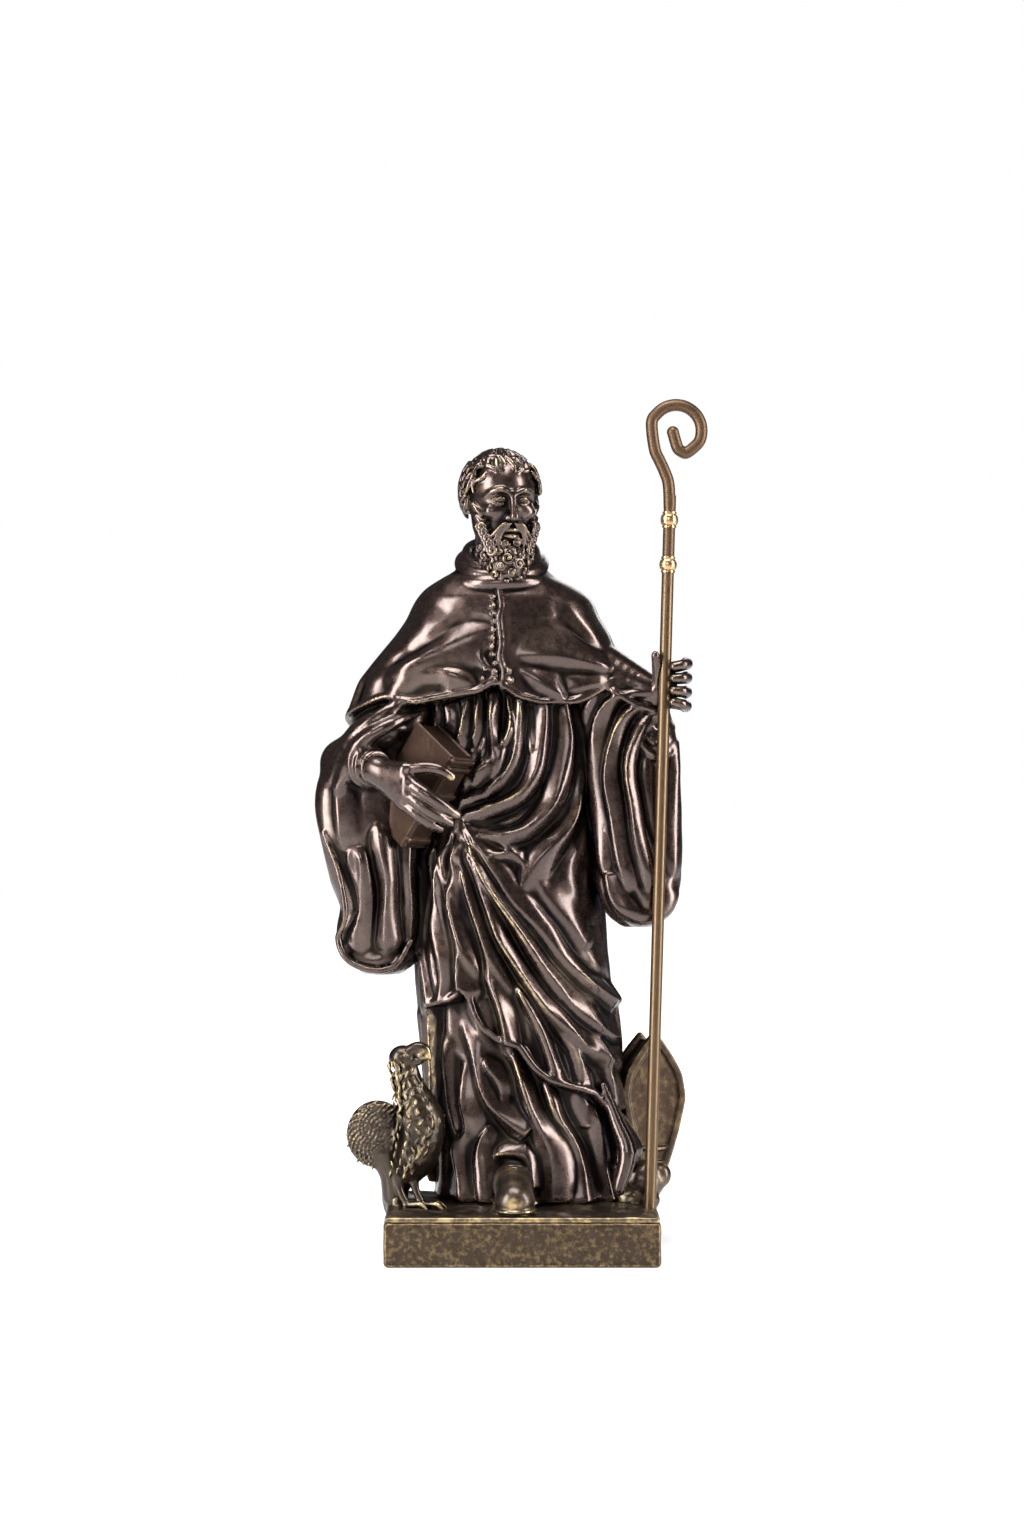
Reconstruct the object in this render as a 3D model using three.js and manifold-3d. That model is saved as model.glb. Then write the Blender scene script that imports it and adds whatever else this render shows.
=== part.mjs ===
// A small bronze statue of a bearded monk in cowl and hooded cape, on a plinth.
// One hand holds a book to the hip, the other a crosier of brass rod.
// A raven stands at the figure's right foot, a mitre leans behind the other.
// Millimetres, +Z up, the front faces -Y. The origin is the middle of the plinth's underside.
import * as THREE from "three";
import { mergeVertices } from "three/addons/utils/BufferGeometryUtils.js";
import Module from "manifold-3d";

const wasm = await Module();
wasm.setup();

// Driving dimensions
const PLINTH_WIDTH = 90;
const PLINTH_DEPTH = 68;
const PLINTH_HEIGHT = 14.5;
const PLINTH_BEVEL = 0.7;
const GROUND_HEIGHT = 1.6;
const GROUND_INSET = 0.8;
const FIGURE_HEIGHT = 251;
const STAFF_DIAMETER = 4;
const STAFF_LENGTH = 228;
const STAFF_LEAN = 1.62;
const STAFF_SOCKET = 0.8;
const CROOK_RADIUS = 8.4;
const CROOK_TIP_RADIUS = 3.2;
const CROOK_NECK = 28;
const KNOP_DIAMETER = 5.8;
const KNOP_HEIGHT = 5.2;
const KNOP_SPACING = 14.8;
const GAP = 0.3;

// The figure is drawn at 251 mm from the ground up, with the ground at height 16.4 of its drawing
const DRAWN_HEIGHT = 251;
const DRAWN_GROUND = 16.4;
const SCALE = FIGURE_HEIGHT / DRAWN_HEIGHT;
const GROUND_TOP = PLINTH_HEIGHT + GAP + GROUND_HEIGHT;
const STAFF_FOOT = [42.2, -10];

const vec = (x, y, z) => new THREE.Vector3(x, y, z);
const radians = THREE.MathUtils.degToRad;
const mix = THREE.MathUtils.lerp;
const wave = (turns) => Math.sin(turns * Math.PI * 2);

// Booleans
function solid(geometry) {
  const bare = geometry.index ? geometry.toNonIndexed() : geometry.clone();
  bare.deleteAttribute("normal");
  bare.deleteAttribute("uv");
  const merged = mergeVertices(bare, 1e-4);
  const vertProperties = merged.attributes.position.array;
  const triVerts = new Uint32Array(merged.index.array);
  return new wasm.Manifold(new wasm.Mesh({ numProp: 3, vertProperties, triVerts }));
}

function joined(solids) {
  let layer = solids;
  while (layer.length > 1) {
    const next = [];
    for (let i = 0; i < layer.length; i += 2) {
      next.push(i + 1 < layer.length ? layer[i].add(layer[i + 1]) : layer[i]);
    }
    layer = next;
  }
  return layer[0];
}

function geometryOf(body) {
  const { vertProperties, triVerts } = body.getMesh();
  const geometry = new THREE.BufferGeometry();
  geometry.setAttribute("position", new THREE.BufferAttribute(vertProperties, 3));
  geometry.setIndex(new THREE.BufferAttribute(triVerts, 1));
  return geometry;
}

// A closed skin of rings: at(turn, share, column, row) gives the points,
// and the end rings close on their middles
function skin(sides, rows, at) {
  const profile = [new THREE.Vector2(0, 0)];
  for (let row = 0; row <= rows; row++) profile.push(new THREE.Vector2(1, row));
  profile.push(new THREE.Vector2(0, rows));
  const geometry = new THREE.LatheGeometry(profile, sides);
  const place = geometry.attributes.position;
  const step = (Math.PI * 2) / sides;
  const ring = (column, row) => at(column * step, row / rows, column, row);
  for (let i = 0; i < place.count; i++) {
    const row = Math.round(place.getY(i));
    const onAxis = Math.hypot(place.getX(i), place.getZ(i)) < 0.5;
    const column = (Math.round(Math.atan2(place.getX(i), place.getZ(i)) / step) + sides) % sides;
    let point = onAxis ? vec(0, 0, 0) : ring(column, row);
    if (onAxis) for (let s = 0; s < sides; s++) point.addScaledVector(ring(s, row), 1 / sides);
    place.setXYZ(i, point.x, point.y, point.z);
  }
  return solid(geometry);
}

// A tapered limb along a smooth line, with blunt ends; flat squeezes it along the out direction
function limb(points, radii, sides = 6, rows = 4, flat = 1, out = vec(0, -1, 0)) {
  const line = new THREE.CatmullRomCurve3(points.map((p) => vec(...p)));
  return skin(sides, rows, (turn, share) => {
    const along = line.getPoint(share);
    const ahead = line.getTangent(share);
    const across = new THREE.Vector3().crossVectors(ahead, out).normalize();
    const normal = new THREE.Vector3().crossVectors(across, ahead);
    const place = share * (radii.length - 1);
    const low = Math.min(Math.floor(place), radii.length - 2);
    let radius = mix(radii[low], radii[low + 1], place - low);
    if (share === 0 || share === 1) radius *= 0.6;
    return along
      .addScaledVector(normal, Math.cos(turn) * radius * flat)
      .addScaledVector(across, Math.sin(turn) * radius);
  });
}

// An egg with lumps on it, as curls of hair or feathers: lump(turn, rise) is their height there
function lumpy([x, y, z], [rx, ry, rz], columns, rows, lump = () => 0) {
  return skin(columns, rows, (turn, share, column, row) => {
    const rise = mix(-80, 80, share);
    const shift = ((row % 2) * Math.PI) / columns;
    const height = lump(turn + shift, rise) * (column % 2 ? 1 : -0.4);
    const girth = Math.cos(radians(rise));
    return vec(
      x + (rx + height) * Math.sin(turn + shift) * girth,
      y - (ry + height) * Math.cos(turn + shift) * girth,
      z + (rz + height * 0.5) * Math.sin(radians(rise)),
    );
  });
}

function ball(middle, radii, detail = 1) {
  return solid(new THREE.IcosahedronGeometry(1, detail).scale(...radii).translate(...middle));
}

// Between named marks, each a place and a value, a value follows straight lines
function marked(marks) {
  return (place) => {
    for (let i = 1; i < marks.length; i++) {
      if (place <= marks[i][0]) {
        const [[from, low], [to, high]] = [marks[i - 1], marks[i]];
        return mix(low, high, (place - from) / (to - from));
      }
    }
    return marks[marks.length - 1][1];
  };
}

// A garment is a stack of ellipses: height, middle x and y, half width, half depth.
// Turns are in degrees from the front, and grow towards the right of the picture.
class Garment {
  constructor(stations) {
    this.stations = stations;
  }

  section(z) {
    const level = Math.max(z, this.stations[0][0]);
    return [1, 2, 3, 4].map((k) => marked(this.stations.map((station) => [station[0], station[k]]))(level));
  }

  point(turn, z, lift = 0) {
    const [cx, cy, rx, ry] = this.section(z);
    return vec(cx + (rx + lift) * Math.sin(radians(turn)), cy - (ry + lift) * Math.cos(radians(turn)), z);
  }

  normal(turn, z) {
    const [, , rx, ry] = this.section(z);
    return vec(Math.sin(radians(turn)) / rx, -Math.cos(radians(turn)) / ry, 0).normalize();
  }

  // The pleated skin: crests and hollows by turns, along lines that flow from the hem up.
  // flow is a list of levels, each a share of the height and the turns that the hem's turns reach there.
  pleated(columns, rows, { hem, top, depth = 1.5, hemTurns, flow = [], fade = 0.3 }) {
    return skin(columns, rows, (around, share, column, row) => {
      const start = THREE.MathUtils.radToDeg(around) - 180;
      const levels = [[0, start]];
      for (const [level, turns] of flow) {
        levels.push([level, marked(hemTurns.map((hemTurn, i) => [hemTurn, turns[i]]))(start)]);
      }
      const turn = marked(levels)(share);
      const low = hem(start);
      const z = low + (top - low) * share;
      const crest = column % 2 ? 1 : -0.7;
      const vary = 0.75 + 0.25 * wave(column * 0.21 + 0.1);
      return this.point(turn, z, depth * crest * vary * (1 - (1 - fade) * share));
    });
  }

  // One fold laid on the garment, a crest with sloping flanks that dies away at its ends.
  // The front view places it, by x and z.
  fold(places, width, height, rows = 4) {
    const line = new THREE.CatmullRomCurve3(
      places.map(([x, z]) => {
        const [cx, , rx] = this.section(z);
        const side = THREE.MathUtils.clamp((x - cx) / rx, -0.98, 0.98);
        return vec(THREE.MathUtils.radToDeg(Math.asin(side)), z, 0);
      }),
    );
    const on = (share) => {
      const { x: turn, y: z } = line.getPoint(THREE.MathUtils.clamp(share, 0, 1));
      return [this.point(turn, z), this.normal(turn, z)];
    };
    return skin(3, rows, (turn, share) => {
      const [middle, normal] = on(share);
      const ahead = on(share + 0.03)[0].sub(on(share - 0.03)[0]).normalize();
      const across = new THREE.Vector3().crossVectors(ahead, normal).normalize();
      const swell = share === 0 || share === 1 ? 0.25 : 1;
      const up = Math.cos(turn) > 0 ? height * swell : -1.5;
      const aside = Math.sin(turn) * 1.15 * width * swell;
      return middle.addScaledVector(normal, up).addScaledVector(across, aside);
    });
  }
}

// Turns spread round a hem, more of them in front
const round = [-180, -130, -90, -62, -30, 0, 30, 55, 80, 125, 180];

// The tunic under the cowl, down to the ground
const tunic = new Garment([
  [15.4, 4, 10, 31, 19],
  [30, 3, 10, 30, 18.5],
  [50, 0.5, 10, 30.5, 18.5],
  [75, -1.5, 10, 31, 18.5],
]);

function tunicForms() {
  const hem = (turn) => 17.4 + 1.4 * wave(turn / 47);
  const flow = [[0.5, round.map((turn) => turn - 4)], [1, round.map((turn) => turn - 12)]];
  return [
    tunic.pleated(32, 3, { hem, top: 92, depth: 2.6, hemTurns: round, flow }),
    tunic.fold([[-9, 43], [-3, 36], [3, 29], [6, 22]], 1.8, 3),
    tunic.fold([[24, 46], [31, 40], [29, 34], [33, 24]], 2, 2.6),
  ];
}

// The cowl, whose hem climbs from the lower right of the picture to its left.
// Its folds gather at the hip under the book and open towards the hem and the chest.
const cowl = new Garment([
  [22, 1, 11, 32.5, 20.5],
  [40, 1.5, 10, 33, 21],
  [60, 0, 10, 33, 21],
  [80, -2, 10, 33, 20.5],
  [100, -4, 10, 32, 20],
  [120, -4, 10, 30.5, 19.5],
  [140, -4, 10, 29.5, 19.5],
  [160, -4.5, 10, 28.5, 19],
  [180, -6, 9, 27.5, 18],
  [200, -7, 8, 25, 15],
]);
const cowlHem = marked([
  [-180, 26], [-120, 24], [-92, 22], [-76, 30], [-62, 82], [-40, 84], [-28, 87], [-22, 76], [-10, 70.5],
  [0, 69], [7, 62], [15, 58], [28, 55.5], [44, 53], [53, 48.5], [64, 45.5], [90, 41], [130, 30], [180, 26],
]);

function cowlForms() {
  const skirt = cowl.pleated(40, 7, {
    hem: cowlHem,
    top: 190,
    depth: 2.4,
    fade: 0.6,
    hemTurns: round,
    flow: [
      [0.3, [-180, -131, -95, -66, -46, -24, 4, 32, 62, 112, 180]],
      [0.62, [-180, -132, -104, -74, -62, -50, -38, -22, 14, 84, 180]],
      [1, [-180, -130, -98, -58, -34, -16, 0, 16, 42, 96, 180]],
    ],
  });
  const folds = [
    [[[-17, 151], [-13, 148.5], [-6, 147.5], [0, 148]], 1.7, 3.4],
    [[[-17, 146], [-11, 141], [-4, 142], [-1, 146]], 1.7, 3.2],
    [[[6, 165], [1, 158], [-7, 154], [-15, 151]], 1.8, 3.2],
    [[[15, 164], [13, 151], [6, 143], [1, 128]], 1.7, 3],
    [[[16, 178], [22, 160], [27, 140], [28, 122]], 1.8, 2.6],
    [[[6, 150], [4, 146], [-1, 137], [-1, 132]], 1.6, 3],
    [[[-29, 84], [-28, 96], [-26, 112], [-25, 124]], 2.6, 3.8],
    [[[-15, 89], [-17, 106], [-21, 128]], 2.8, 3.8],
  ].map(([places, width, height]) => cowl.fold(places, width, height));
  return [skirt, ...folds];
}

// The short cape over both arms, its hem parted below the row of buttons
const cape = new Garment([
  [172, -6.5, 7, 46, 23],
  [191, -6.5, 7, 46.6, 22.5],
  [197.7, -7, 7, 42.3, 22],
  [204.4, -7, 7, 37, 21.5],
  [211, -6.3, 6.5, 32.8, 20.5],
  [215, -6, 6.5, 31.3, 19.5],
  [218, -6, 6, 29.5, 18.5],
  [221.5, -6.5, 5.5, 26, 16.5],
  [225, -7.5, 5, 19.5, 14.5],
  [229, -7, 4, 12, 12],
]);
const capeHem = marked([
  [-180, 172], [-110, 175], [-88, 178.5], [-66, 182], [-50, 185], [-35, 182.5], [-24, 184], [-8, 186.5],
  [-1, 190], [6, 185.5], [16, 183], [34, 183], [44, 186.5], [58, 191], [90, 191], [120, 180], [180, 172],
]);

function capeForms() {
  const mantle = cape.pleated(34, 5, {
    hem: capeHem,
    top: 229,
    depth: 1.5,
    fade: 0.3,
    hemTurns: round,
    flow: [[1, [-180, -125, -80, -50, -20, 0, 20, 44, 66, 118, 180]]],
  });
  const folds = [
    [[[-8, 207], [-18, 202], [-30, 197], [-44, 189]], 1.8, 2.6],
    [[[-23, 190], [-34, 193], [-44, 189]], 1.8, 2.6],
    [[[-2, 197], [10, 197], [22, 194], [31, 192]], 1.8, 2.6],
    [[[-6.5, 219], [-6, 205], [-5, 190]], 1.5, 1.5],
  ].map(([places, width, height]) => cape.fold(places, width, height));
  return [mantle, ...folds];
}

// The hood, laid back on the shoulders behind a rolled collar that stands up round the neck
function hoodForms() {
  const roll = (radius, thick, height, tilt) => {
    const ring = new THREE.TorusGeometry(radius, thick, 5, 12).scale(1, 0.95, 1);
    return solid(ring.rotateX(radians(tilt)).translate(-7, 4, height));
  };
  return [
    roll(11, 3.6, 227, 10),
    roll(10, 3.2, 232.5, 15),
    ball([-7, 20, 211], [15, 9, 14]),
    limb([[-7, 3, 220], [-6.5, 2, 242]], [8, 8], 8, 1),
  ];
}

// The arm on the left of the picture and its hanging sleeve
const leftSleeve = new Garment([
  [92.5, -46.5, 5, 6, 5],
  [94.5, -46.8, 5, 9.5, 7.5],
  [98, -47, 5, 12.5, 9.5],
  [108, -47, 5, 14, 10.5],
  [118, -46.5, 5, 13.8, 11],
  [130, -49.5, 4, 15.5, 12],
  [140, -51.5, 4, 16.2, 13],
  [152, -51.7, 4, 16.2, 13],
  [160, -50.5, 4, 15.6, 13],
  [170, -46, 5, 13.5, 12],
  [180, -41, 6, 13, 11],
  [188, -36, 7, 8, 7],
]);

function leftArmForms() {
  const flow = [[1, round.map((turn) => turn - 14)]];
  const sleeve = leftSleeve.pleated(16, 7, { hem: () => 92.5, top: 188, depth: 1.3, hemTurns: round, flow });
  const forearm = limb([[-57, 3, 163], [-52, -8, 162], [-46, -15, 162.5]], [9, 7, 5.6], 8, 3);
  const rim = leftSleeve.fold([[-44, 174], [-58, 168], [-65, 156], [-65, 140], [-60, 120]], 2, 2.8, 5);
  const inner = [-55, -47].map((x) => leftSleeve.fold([[x, 146], [x + 3, 126], [x + 2, 104]], 1.6, 2.6, 3));
  return [sleeve, forearm, rim, ...inner];
}

// The book under that hand: its near corner, and the directions of its spine, boards and thickness
const bookCorner = vec(-23, -24, 165.7);
const bookDown = vec(-17.3, 12.8, -30.7).normalize();
const bookBack = vec(7.6, 8.6, -0.7).normalize();
const bookWide = new THREE.Vector3().crossVectors(bookDown, bookBack).normalize().negate();
const BOOK_LENGTH = 37;
const BOOK_WIDTH = 20;
const BOOK_THICKNESS = 11;

function bookForms() {
  const block = (from, size) => {
    const frame = new THREE.Matrix4().makeBasis(bookBack, bookWide, bookDown.clone().negate());
    const middle = bookCorner
      .clone()
      .addScaledVector(bookDown, from[0] + size[0] / 2)
      .addScaledVector(bookWide, from[1] + size[1] / 2)
      .addScaledVector(bookBack, from[2] + size[2] / 2);
    const box = new THREE.BoxGeometry(size[2], size[1], size[0]).applyMatrix4(frame);
    return solid(box.translate(middle.x, middle.y, middle.z));
  };
  const board = 1.1;
  const bands = [0.04, 0.3, 0.66, 0.9].map((share) =>
    block([BOOK_LENGTH * share, -0.7, 0.4], [2, 3, BOOK_THICKNESS - 0.8]),
  );
  return [
    block([0.8, 0, board / 2], [BOOK_LENGTH - 1.6, BOOK_WIDTH - 1, BOOK_THICKNESS - board]),
    block([0, 0, 0], [BOOK_LENGTH, BOOK_WIDTH, board]),
    block([0, 0, BOOK_THICKNESS - board], [BOOK_LENGTH, BOOK_WIDTH, board]),
    ...bands,
  ];
}

function leftHandForms() {
  const palm = limb([[-47, -14, 162.5], [-41, -21, 158], [-35, -25, 153]], [4.4, 4.8, 4], 6, 3, 0.6);
  const fingers = [
    [[-38, -24, 159.5], [-31, -27, 161], [-23.5, -27.5, 158]],
    [[-38, -25, 156], [-31, -29, 152.5], [-21.5, -25, 146]],
    [[-38, -24, 153], [-32, -28, 148.5], [-22, -24, 144.5]],
    [[-37, -22, 150], [-32, -26, 145.5], [-25, -23, 143.5]],
  ].map((line) => limb(line, [1.9, 1.8, 1.4], 5, 3));
  return [palm, ...fingers];
}

// The raised arm on the right of the picture, with its sleeve
const rightSleeve = new Garment([
  [108.5, 39, 0, 5, 4],
  [110.5, 39, 0, 8.5, 6.5],
  [114, 38.8, 0, 11.5, 8.5],
  [122, 38.6, 1, 14, 10],
  [134, 38.2, 2, 14.4, 11],
  [148, 37.5, 2.5, 14.2, 11.5],
  [160, 36.5, 3, 15, 12],
  [175, 35, 4, 15.8, 12],
  [186, 32, 4, 16, 11],
  [194, 26, 5, 14.5, 10],
]);

function rightArmForms() {
  const sleeve = rightSleeve.pleated(18, 6, {
    hem: () => 108.5,
    top: 194,
    depth: 1.5,
    fade: 0.8,
    hemTurns: round,
    flow: [[0.5, round.map((turn) => turn + 6)], [1, [-180, -110, -60, -20, 5, 24, 44, 62, 84, 125, 180]]],
  });
  const arm = limb([[16, 5, 200], [28, 1, 193], [38, -2, 189], [44, -4, 187]], [10.5, 9, 7, 5], 8, 4);
  const cuff = [0, 1].map((i) => {
    const line = [[34 - i * 2, 187 - i * 3], [39 - i, 177 - i * 6], [47, 174 - i * 7]];
    return rightSleeve.fold(line, 1.4, 2.2, 3);
  });
  return [sleeve, arm, ...cuff];
}

// The line of the staff, from its foot in the ground up
const staffUp = vec(Math.sin(radians(STAFF_LEAN)), 0, Math.cos(radians(STAFF_LEAN)));
const staffAcross = vec(staffUp.z, 0, -staffUp.x);
const staffFoot = vec(STAFF_FOOT[0] * SCALE, STAFF_FOOT[1] * SCALE, GROUND_TOP - STAFF_SOCKET);
const onStaff = (up, across = 0) =>
  staffFoot.clone().addScaledVector(staffUp, up).addScaledVector(staffAcross, across);

// The hand that holds the staff: palm behind it, fingers round its right, thumb on its left
function rightHandForms() {
  const drawn = (z) => STAFF_FOOT[0] + Math.tan(radians(STAFF_LEAN)) * (z - DRAWN_GROUND);
  const back = STAFF_FOOT[1] + STAFF_DIAMETER / SCALE;
  const grip = STAFF_DIAMETER / 2 / SCALE;
  const palmLine = [[44, -3, 181], [drawn(187), back, 187], [drawn(192) - 0.5, back, 193.5]];
  const thumbLine = [[44, -4, 186], [drawn(192) - 4.4, -8, 193], [drawn(197) - 4.6, -11, 198.2]];
  const palm = limb(palmLine, [4.6, 5, 4.4], 6, 3, 0.7);
  const thumb = limb(thumbLine, [3, 2, 1.5], 5, 3);
  const fingers = [194.6, 190.8, 186.6, 182.4].map((z, i) => {
    const x = drawn(z) + grip;
    const line = [
      [x - 1, back, z],
      [x + 5.2 - i * 0.3, back - 2.2, z + 0.2],
      [x + 4.8, back - 6.4, z],
      [x + 1.2, back - 6.8, z - 0.1],
    ];
    return limb(line, [2, 2, 1.9, 1.6], 5, 4);
  });
  return [palm, thumb, ...fingers];
}

// The head, drawn facing forwards about its own middle, then turned and bowed on the neck
const headPlace = vec(-6.6, -1.5, 250);
const HEAD_TURN = 17;
const HEAD_BOW = 5;

function headForms() {
  const hair = (turn, rise) => (Math.cos(turn) > 0.55 && rise < 38 ? 0 : 1.1);
  const beard = (turn, rise) => (Math.cos(turn) < -0.2 || rise > 50 ? 0 : 1.1);
  const brow = [[-7.5, -9.4, 2], [-3.6, -12.2, 3.2], [0, -12.2, 2.2], [3.6, -12.2, 3.2], [7.5, -9.4, 2]];
  const forms = [
    lumpy([-0.6, 1.8, 2.6], [12.4, 13.6, 14.4], 14, 7, hair),
    lumpy([0, -4.2, -4], [8.8, 8.4, 12.4], 8, 5),
    lumpy([0, -5.3, -16.4], [9.6, 7.6, 11.2], 12, 6, beard),
    limb(brow, [1.2, 1.4, 1.2, 1.4, 1.2], 4, 6),
    limb([[0, -11.4, 2.5], [0, -13.2, -2.6], [0, -14.4, -6]], [1.1, 1.4, 1.9], 5, 2),
  ];
  for (const side of [-1, 1]) {
    forms.push(ball([side * 11.4, 1.5, -1.5], [1.5, 2.4, 4], 0));
    forms.push(ball([side * 3.9, -10.7, -0.4], [2.1, 1.5, 1.3], 0));
    forms.push(ball([side * 5.2, -9.6, -5.6], [2.4, 1.8, 2.6], 0));
    const moustache = [[0, -13, -8.4], [side * 3.6, -12.6, -9.6], [side * 5.6, -11, -14]];
    forms.push(limb(moustache, [1.2, 1.5, 0.9], 4, 2));
  }
  return forms.map((form) =>
    form.rotate([HEAD_BOW, 0, 0]).rotate([0, 0, HEAD_TURN]).translate(headPlace.toArray()),
  );
}

function shoeForms() {
  const up = vec(0, 0, 1);
  const vamp = [[-3, -6, 24], [-2.8, -16, 23.6], [-2.6, -24, 21.6], [-2.4, -30.5, 20]];
  return [
    limb(vamp, [6, 6.8, 6.6, 4.8], 8, 4, 0.9, up),
    limb([[-2.8, -14, 17.6], [-2.4, -29, 17.6]], [6.8, 6.4], 8, 2, 0.3, up),
  ];
}

// The raven: a long neck raised, a round wing held out behind, the beak to the robe
function ravenForms() {
  const feather = () => 0.5;
  const neck = [[-41, -7, 24], [-36, -7, 33], [-34, -8, 45], [-37.4, -8, 57], [-40.4, -8, 65]];
  const toes = [-24, 10].map((turn) => {
    const tip = [-27.4, -10.6 - turn * 0.16, 16.6];
    return limb([[-33.4, -10.6, 17.4], tip], [1.1, 0.8], 4, 1);
  });
  return [
    limb(neck, [4, 8.2, 8.6, 5.6, 4.3], 8, 6),
    lumpy([-39.8, -8, 65.2], [4.4, 4, 4.2], 6, 3),
    limb([[-37.5, -8.6, 67.2], [-33.6, -9, 69.3], [-30.4, -9.2, 66]], [2.2, 1.8, 0.8], 4, 3),
    limb([[-37, -8.6, 64.4], [-33.8, -9, 64.6], [-31.4, -9.2, 65.6]], [1.6, 1.5, 0.8], 4, 2),
    lumpy([-47.6, -8.6, 40], [10.4, 4.2, 11.4], 12, 5, feather),
    limb([[-36.5, -9, 28], [-35.6, -10, 22], [-32.4, -11, 17.4]], [2.4, 1.4, 1.3], 5, 2),
    ...toes,
    limb([[-42, -3, 15], [-42.5, -4, 22], [-43, -6, 31]], [5, 4, 4], 6, 3),
  ];
}

// The mitre, leaning against the robe behind the staff: two pointed shields with a band between
function mitreForms() {
  const outline = (grow) =>
    new THREE.Shape([
      new THREE.Vector2(-5.5 - grow, -22 - grow),
      new THREE.Vector2(5.5 + grow, -22 - grow),
      new THREE.Vector2(10 + grow, -8),
      new THREE.Vector2(12 + grow, 2),
      new THREE.Vector2(10.4 + grow, 10 + grow),
      new THREE.Vector2(0, 24 + grow * 1.4),
      new THREE.Vector2(-10.4 - grow, 10 + grow),
      new THREE.Vector2(-12 - grow, 2),
      new THREE.Vector2(-10 - grow, -8),
    ]);
  const shield = (grow, thick, back) =>
    new THREE.ExtrudeGeometry(outline(grow), { depth: thick, bevelEnabled: false }).translate(0, 0, back);
  const plates = [shield(0, 4.4, 1.6), shield(-1.8, 1.4, 5), shield(-1.2, 9, -6), shield(0, 2.6, -8)];
  return plates.map((geometry) => {
    geometry.rotateX(Math.PI / 2).rotateX(radians(-7)).rotateZ(radians(24));
    return solid(geometry.rotateY(radians(4)).translate(42.6, 16, 48.5));
  });
}

// The rocks that the mitre rests on, and the hem that trails over them
function mitreRest() {
  const rocks = [ball([40.5, 6, 21.5], [6.6, 7, 5.8]), ball([41, 15, 21], [6, 7, 7.5])];
  return [...rocks, limb([[30, 6, 33], [36, 2, 27], [40, -2, 21]], [4, 3.6, 2.8], 5, 2)];
}

// The uneven ground that the cast figure stands on, inset from the plinth's edge
function groundForm() {
  const width = PLINTH_WIDTH - 2 * GROUND_INSET;
  const depth = PLINTH_DEPTH - 2 * GROUND_INSET;
  const bottom = PLINTH_HEIGHT + GAP;
  const slab = new THREE.BoxGeometry(width, depth, GROUND_HEIGHT, 6, 5, 1);
  const place = slab.attributes.position;
  for (let i = 0; i < place.count; i++) {
    const [x, y] = [place.getX(i), place.getY(i)];
    const rough = 0.35 * wave(x / 23 + y / 41) + 0.3 * wave(y / 17 - x / 37);
    const dish = 1 + rough + 0.9 * (y / depth + 0.5);
    place.setZ(i, place.getZ(i) > 0 ? bottom + GROUND_HEIGHT - 1 + dish : bottom);
  }
  return solid(slab);
}

function staffClearance() {
  const radius = STAFF_DIAMETER / 2 + GAP;
  const rod = new THREE.CylinderGeometry(radius, radius, STAFF_LENGTH, 16).rotateX(Math.PI / 2);
  rod.rotateY(radians(STAFF_LEAN));
  const middle = onStaff(STAFF_LENGTH / 2 - GAP);
  return solid(rod.translate(middle.x, middle.y, middle.z));
}

function casting() {
  const figure = joined([
    ...tunicForms(),
    ...cowlForms(),
    ...capeForms(),
    ...hoodForms(),
    ...leftArmForms(),
    ...bookForms(),
    ...leftHandForms(),
    ...rightArmForms(),
    ...rightHandForms(),
    ...headForms(),
    ...shoeForms(),
    ...ravenForms(),
    ...mitreForms(),
    ...mitreRest(),
  ])
    .translate([0, 0, -DRAWN_GROUND])
    .scale([SCALE, SCALE, SCALE])
    .translate([0, 0, GROUND_TOP]);
  const under = new THREE.BoxGeometry(400, 400, 40).translate(0, 0, PLINTH_HEIGHT + GAP - 20);
  const whole = joined([groundForm(), figure]).subtract(solid(under)).subtract(staffClearance());
  const shells = whole.decompose().filter((shell) => shell.volume() > 0);
  return geometryOf(joined(shells));
}

function plinth() {
  const [halfWidth, halfDepth] = [PLINTH_WIDTH / 2 - PLINTH_BEVEL, PLINTH_DEPTH / 2 - PLINTH_BEVEL];
  const outline = new THREE.Shape([
    new THREE.Vector2(-halfWidth, -halfDepth),
    new THREE.Vector2(halfWidth, -halfDepth),
    new THREE.Vector2(halfWidth, halfDepth),
    new THREE.Vector2(-halfWidth, halfDepth),
  ]);
  return new THREE.ExtrudeGeometry(outline, {
    depth: PLINTH_HEIGHT - 2 * PLINTH_BEVEL,
    bevelThickness: PLINTH_BEVEL,
    bevelSize: PLINTH_BEVEL,
    bevelSegments: 2,
  }).translate(0, 0, PLINTH_BEVEL);
}

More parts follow.
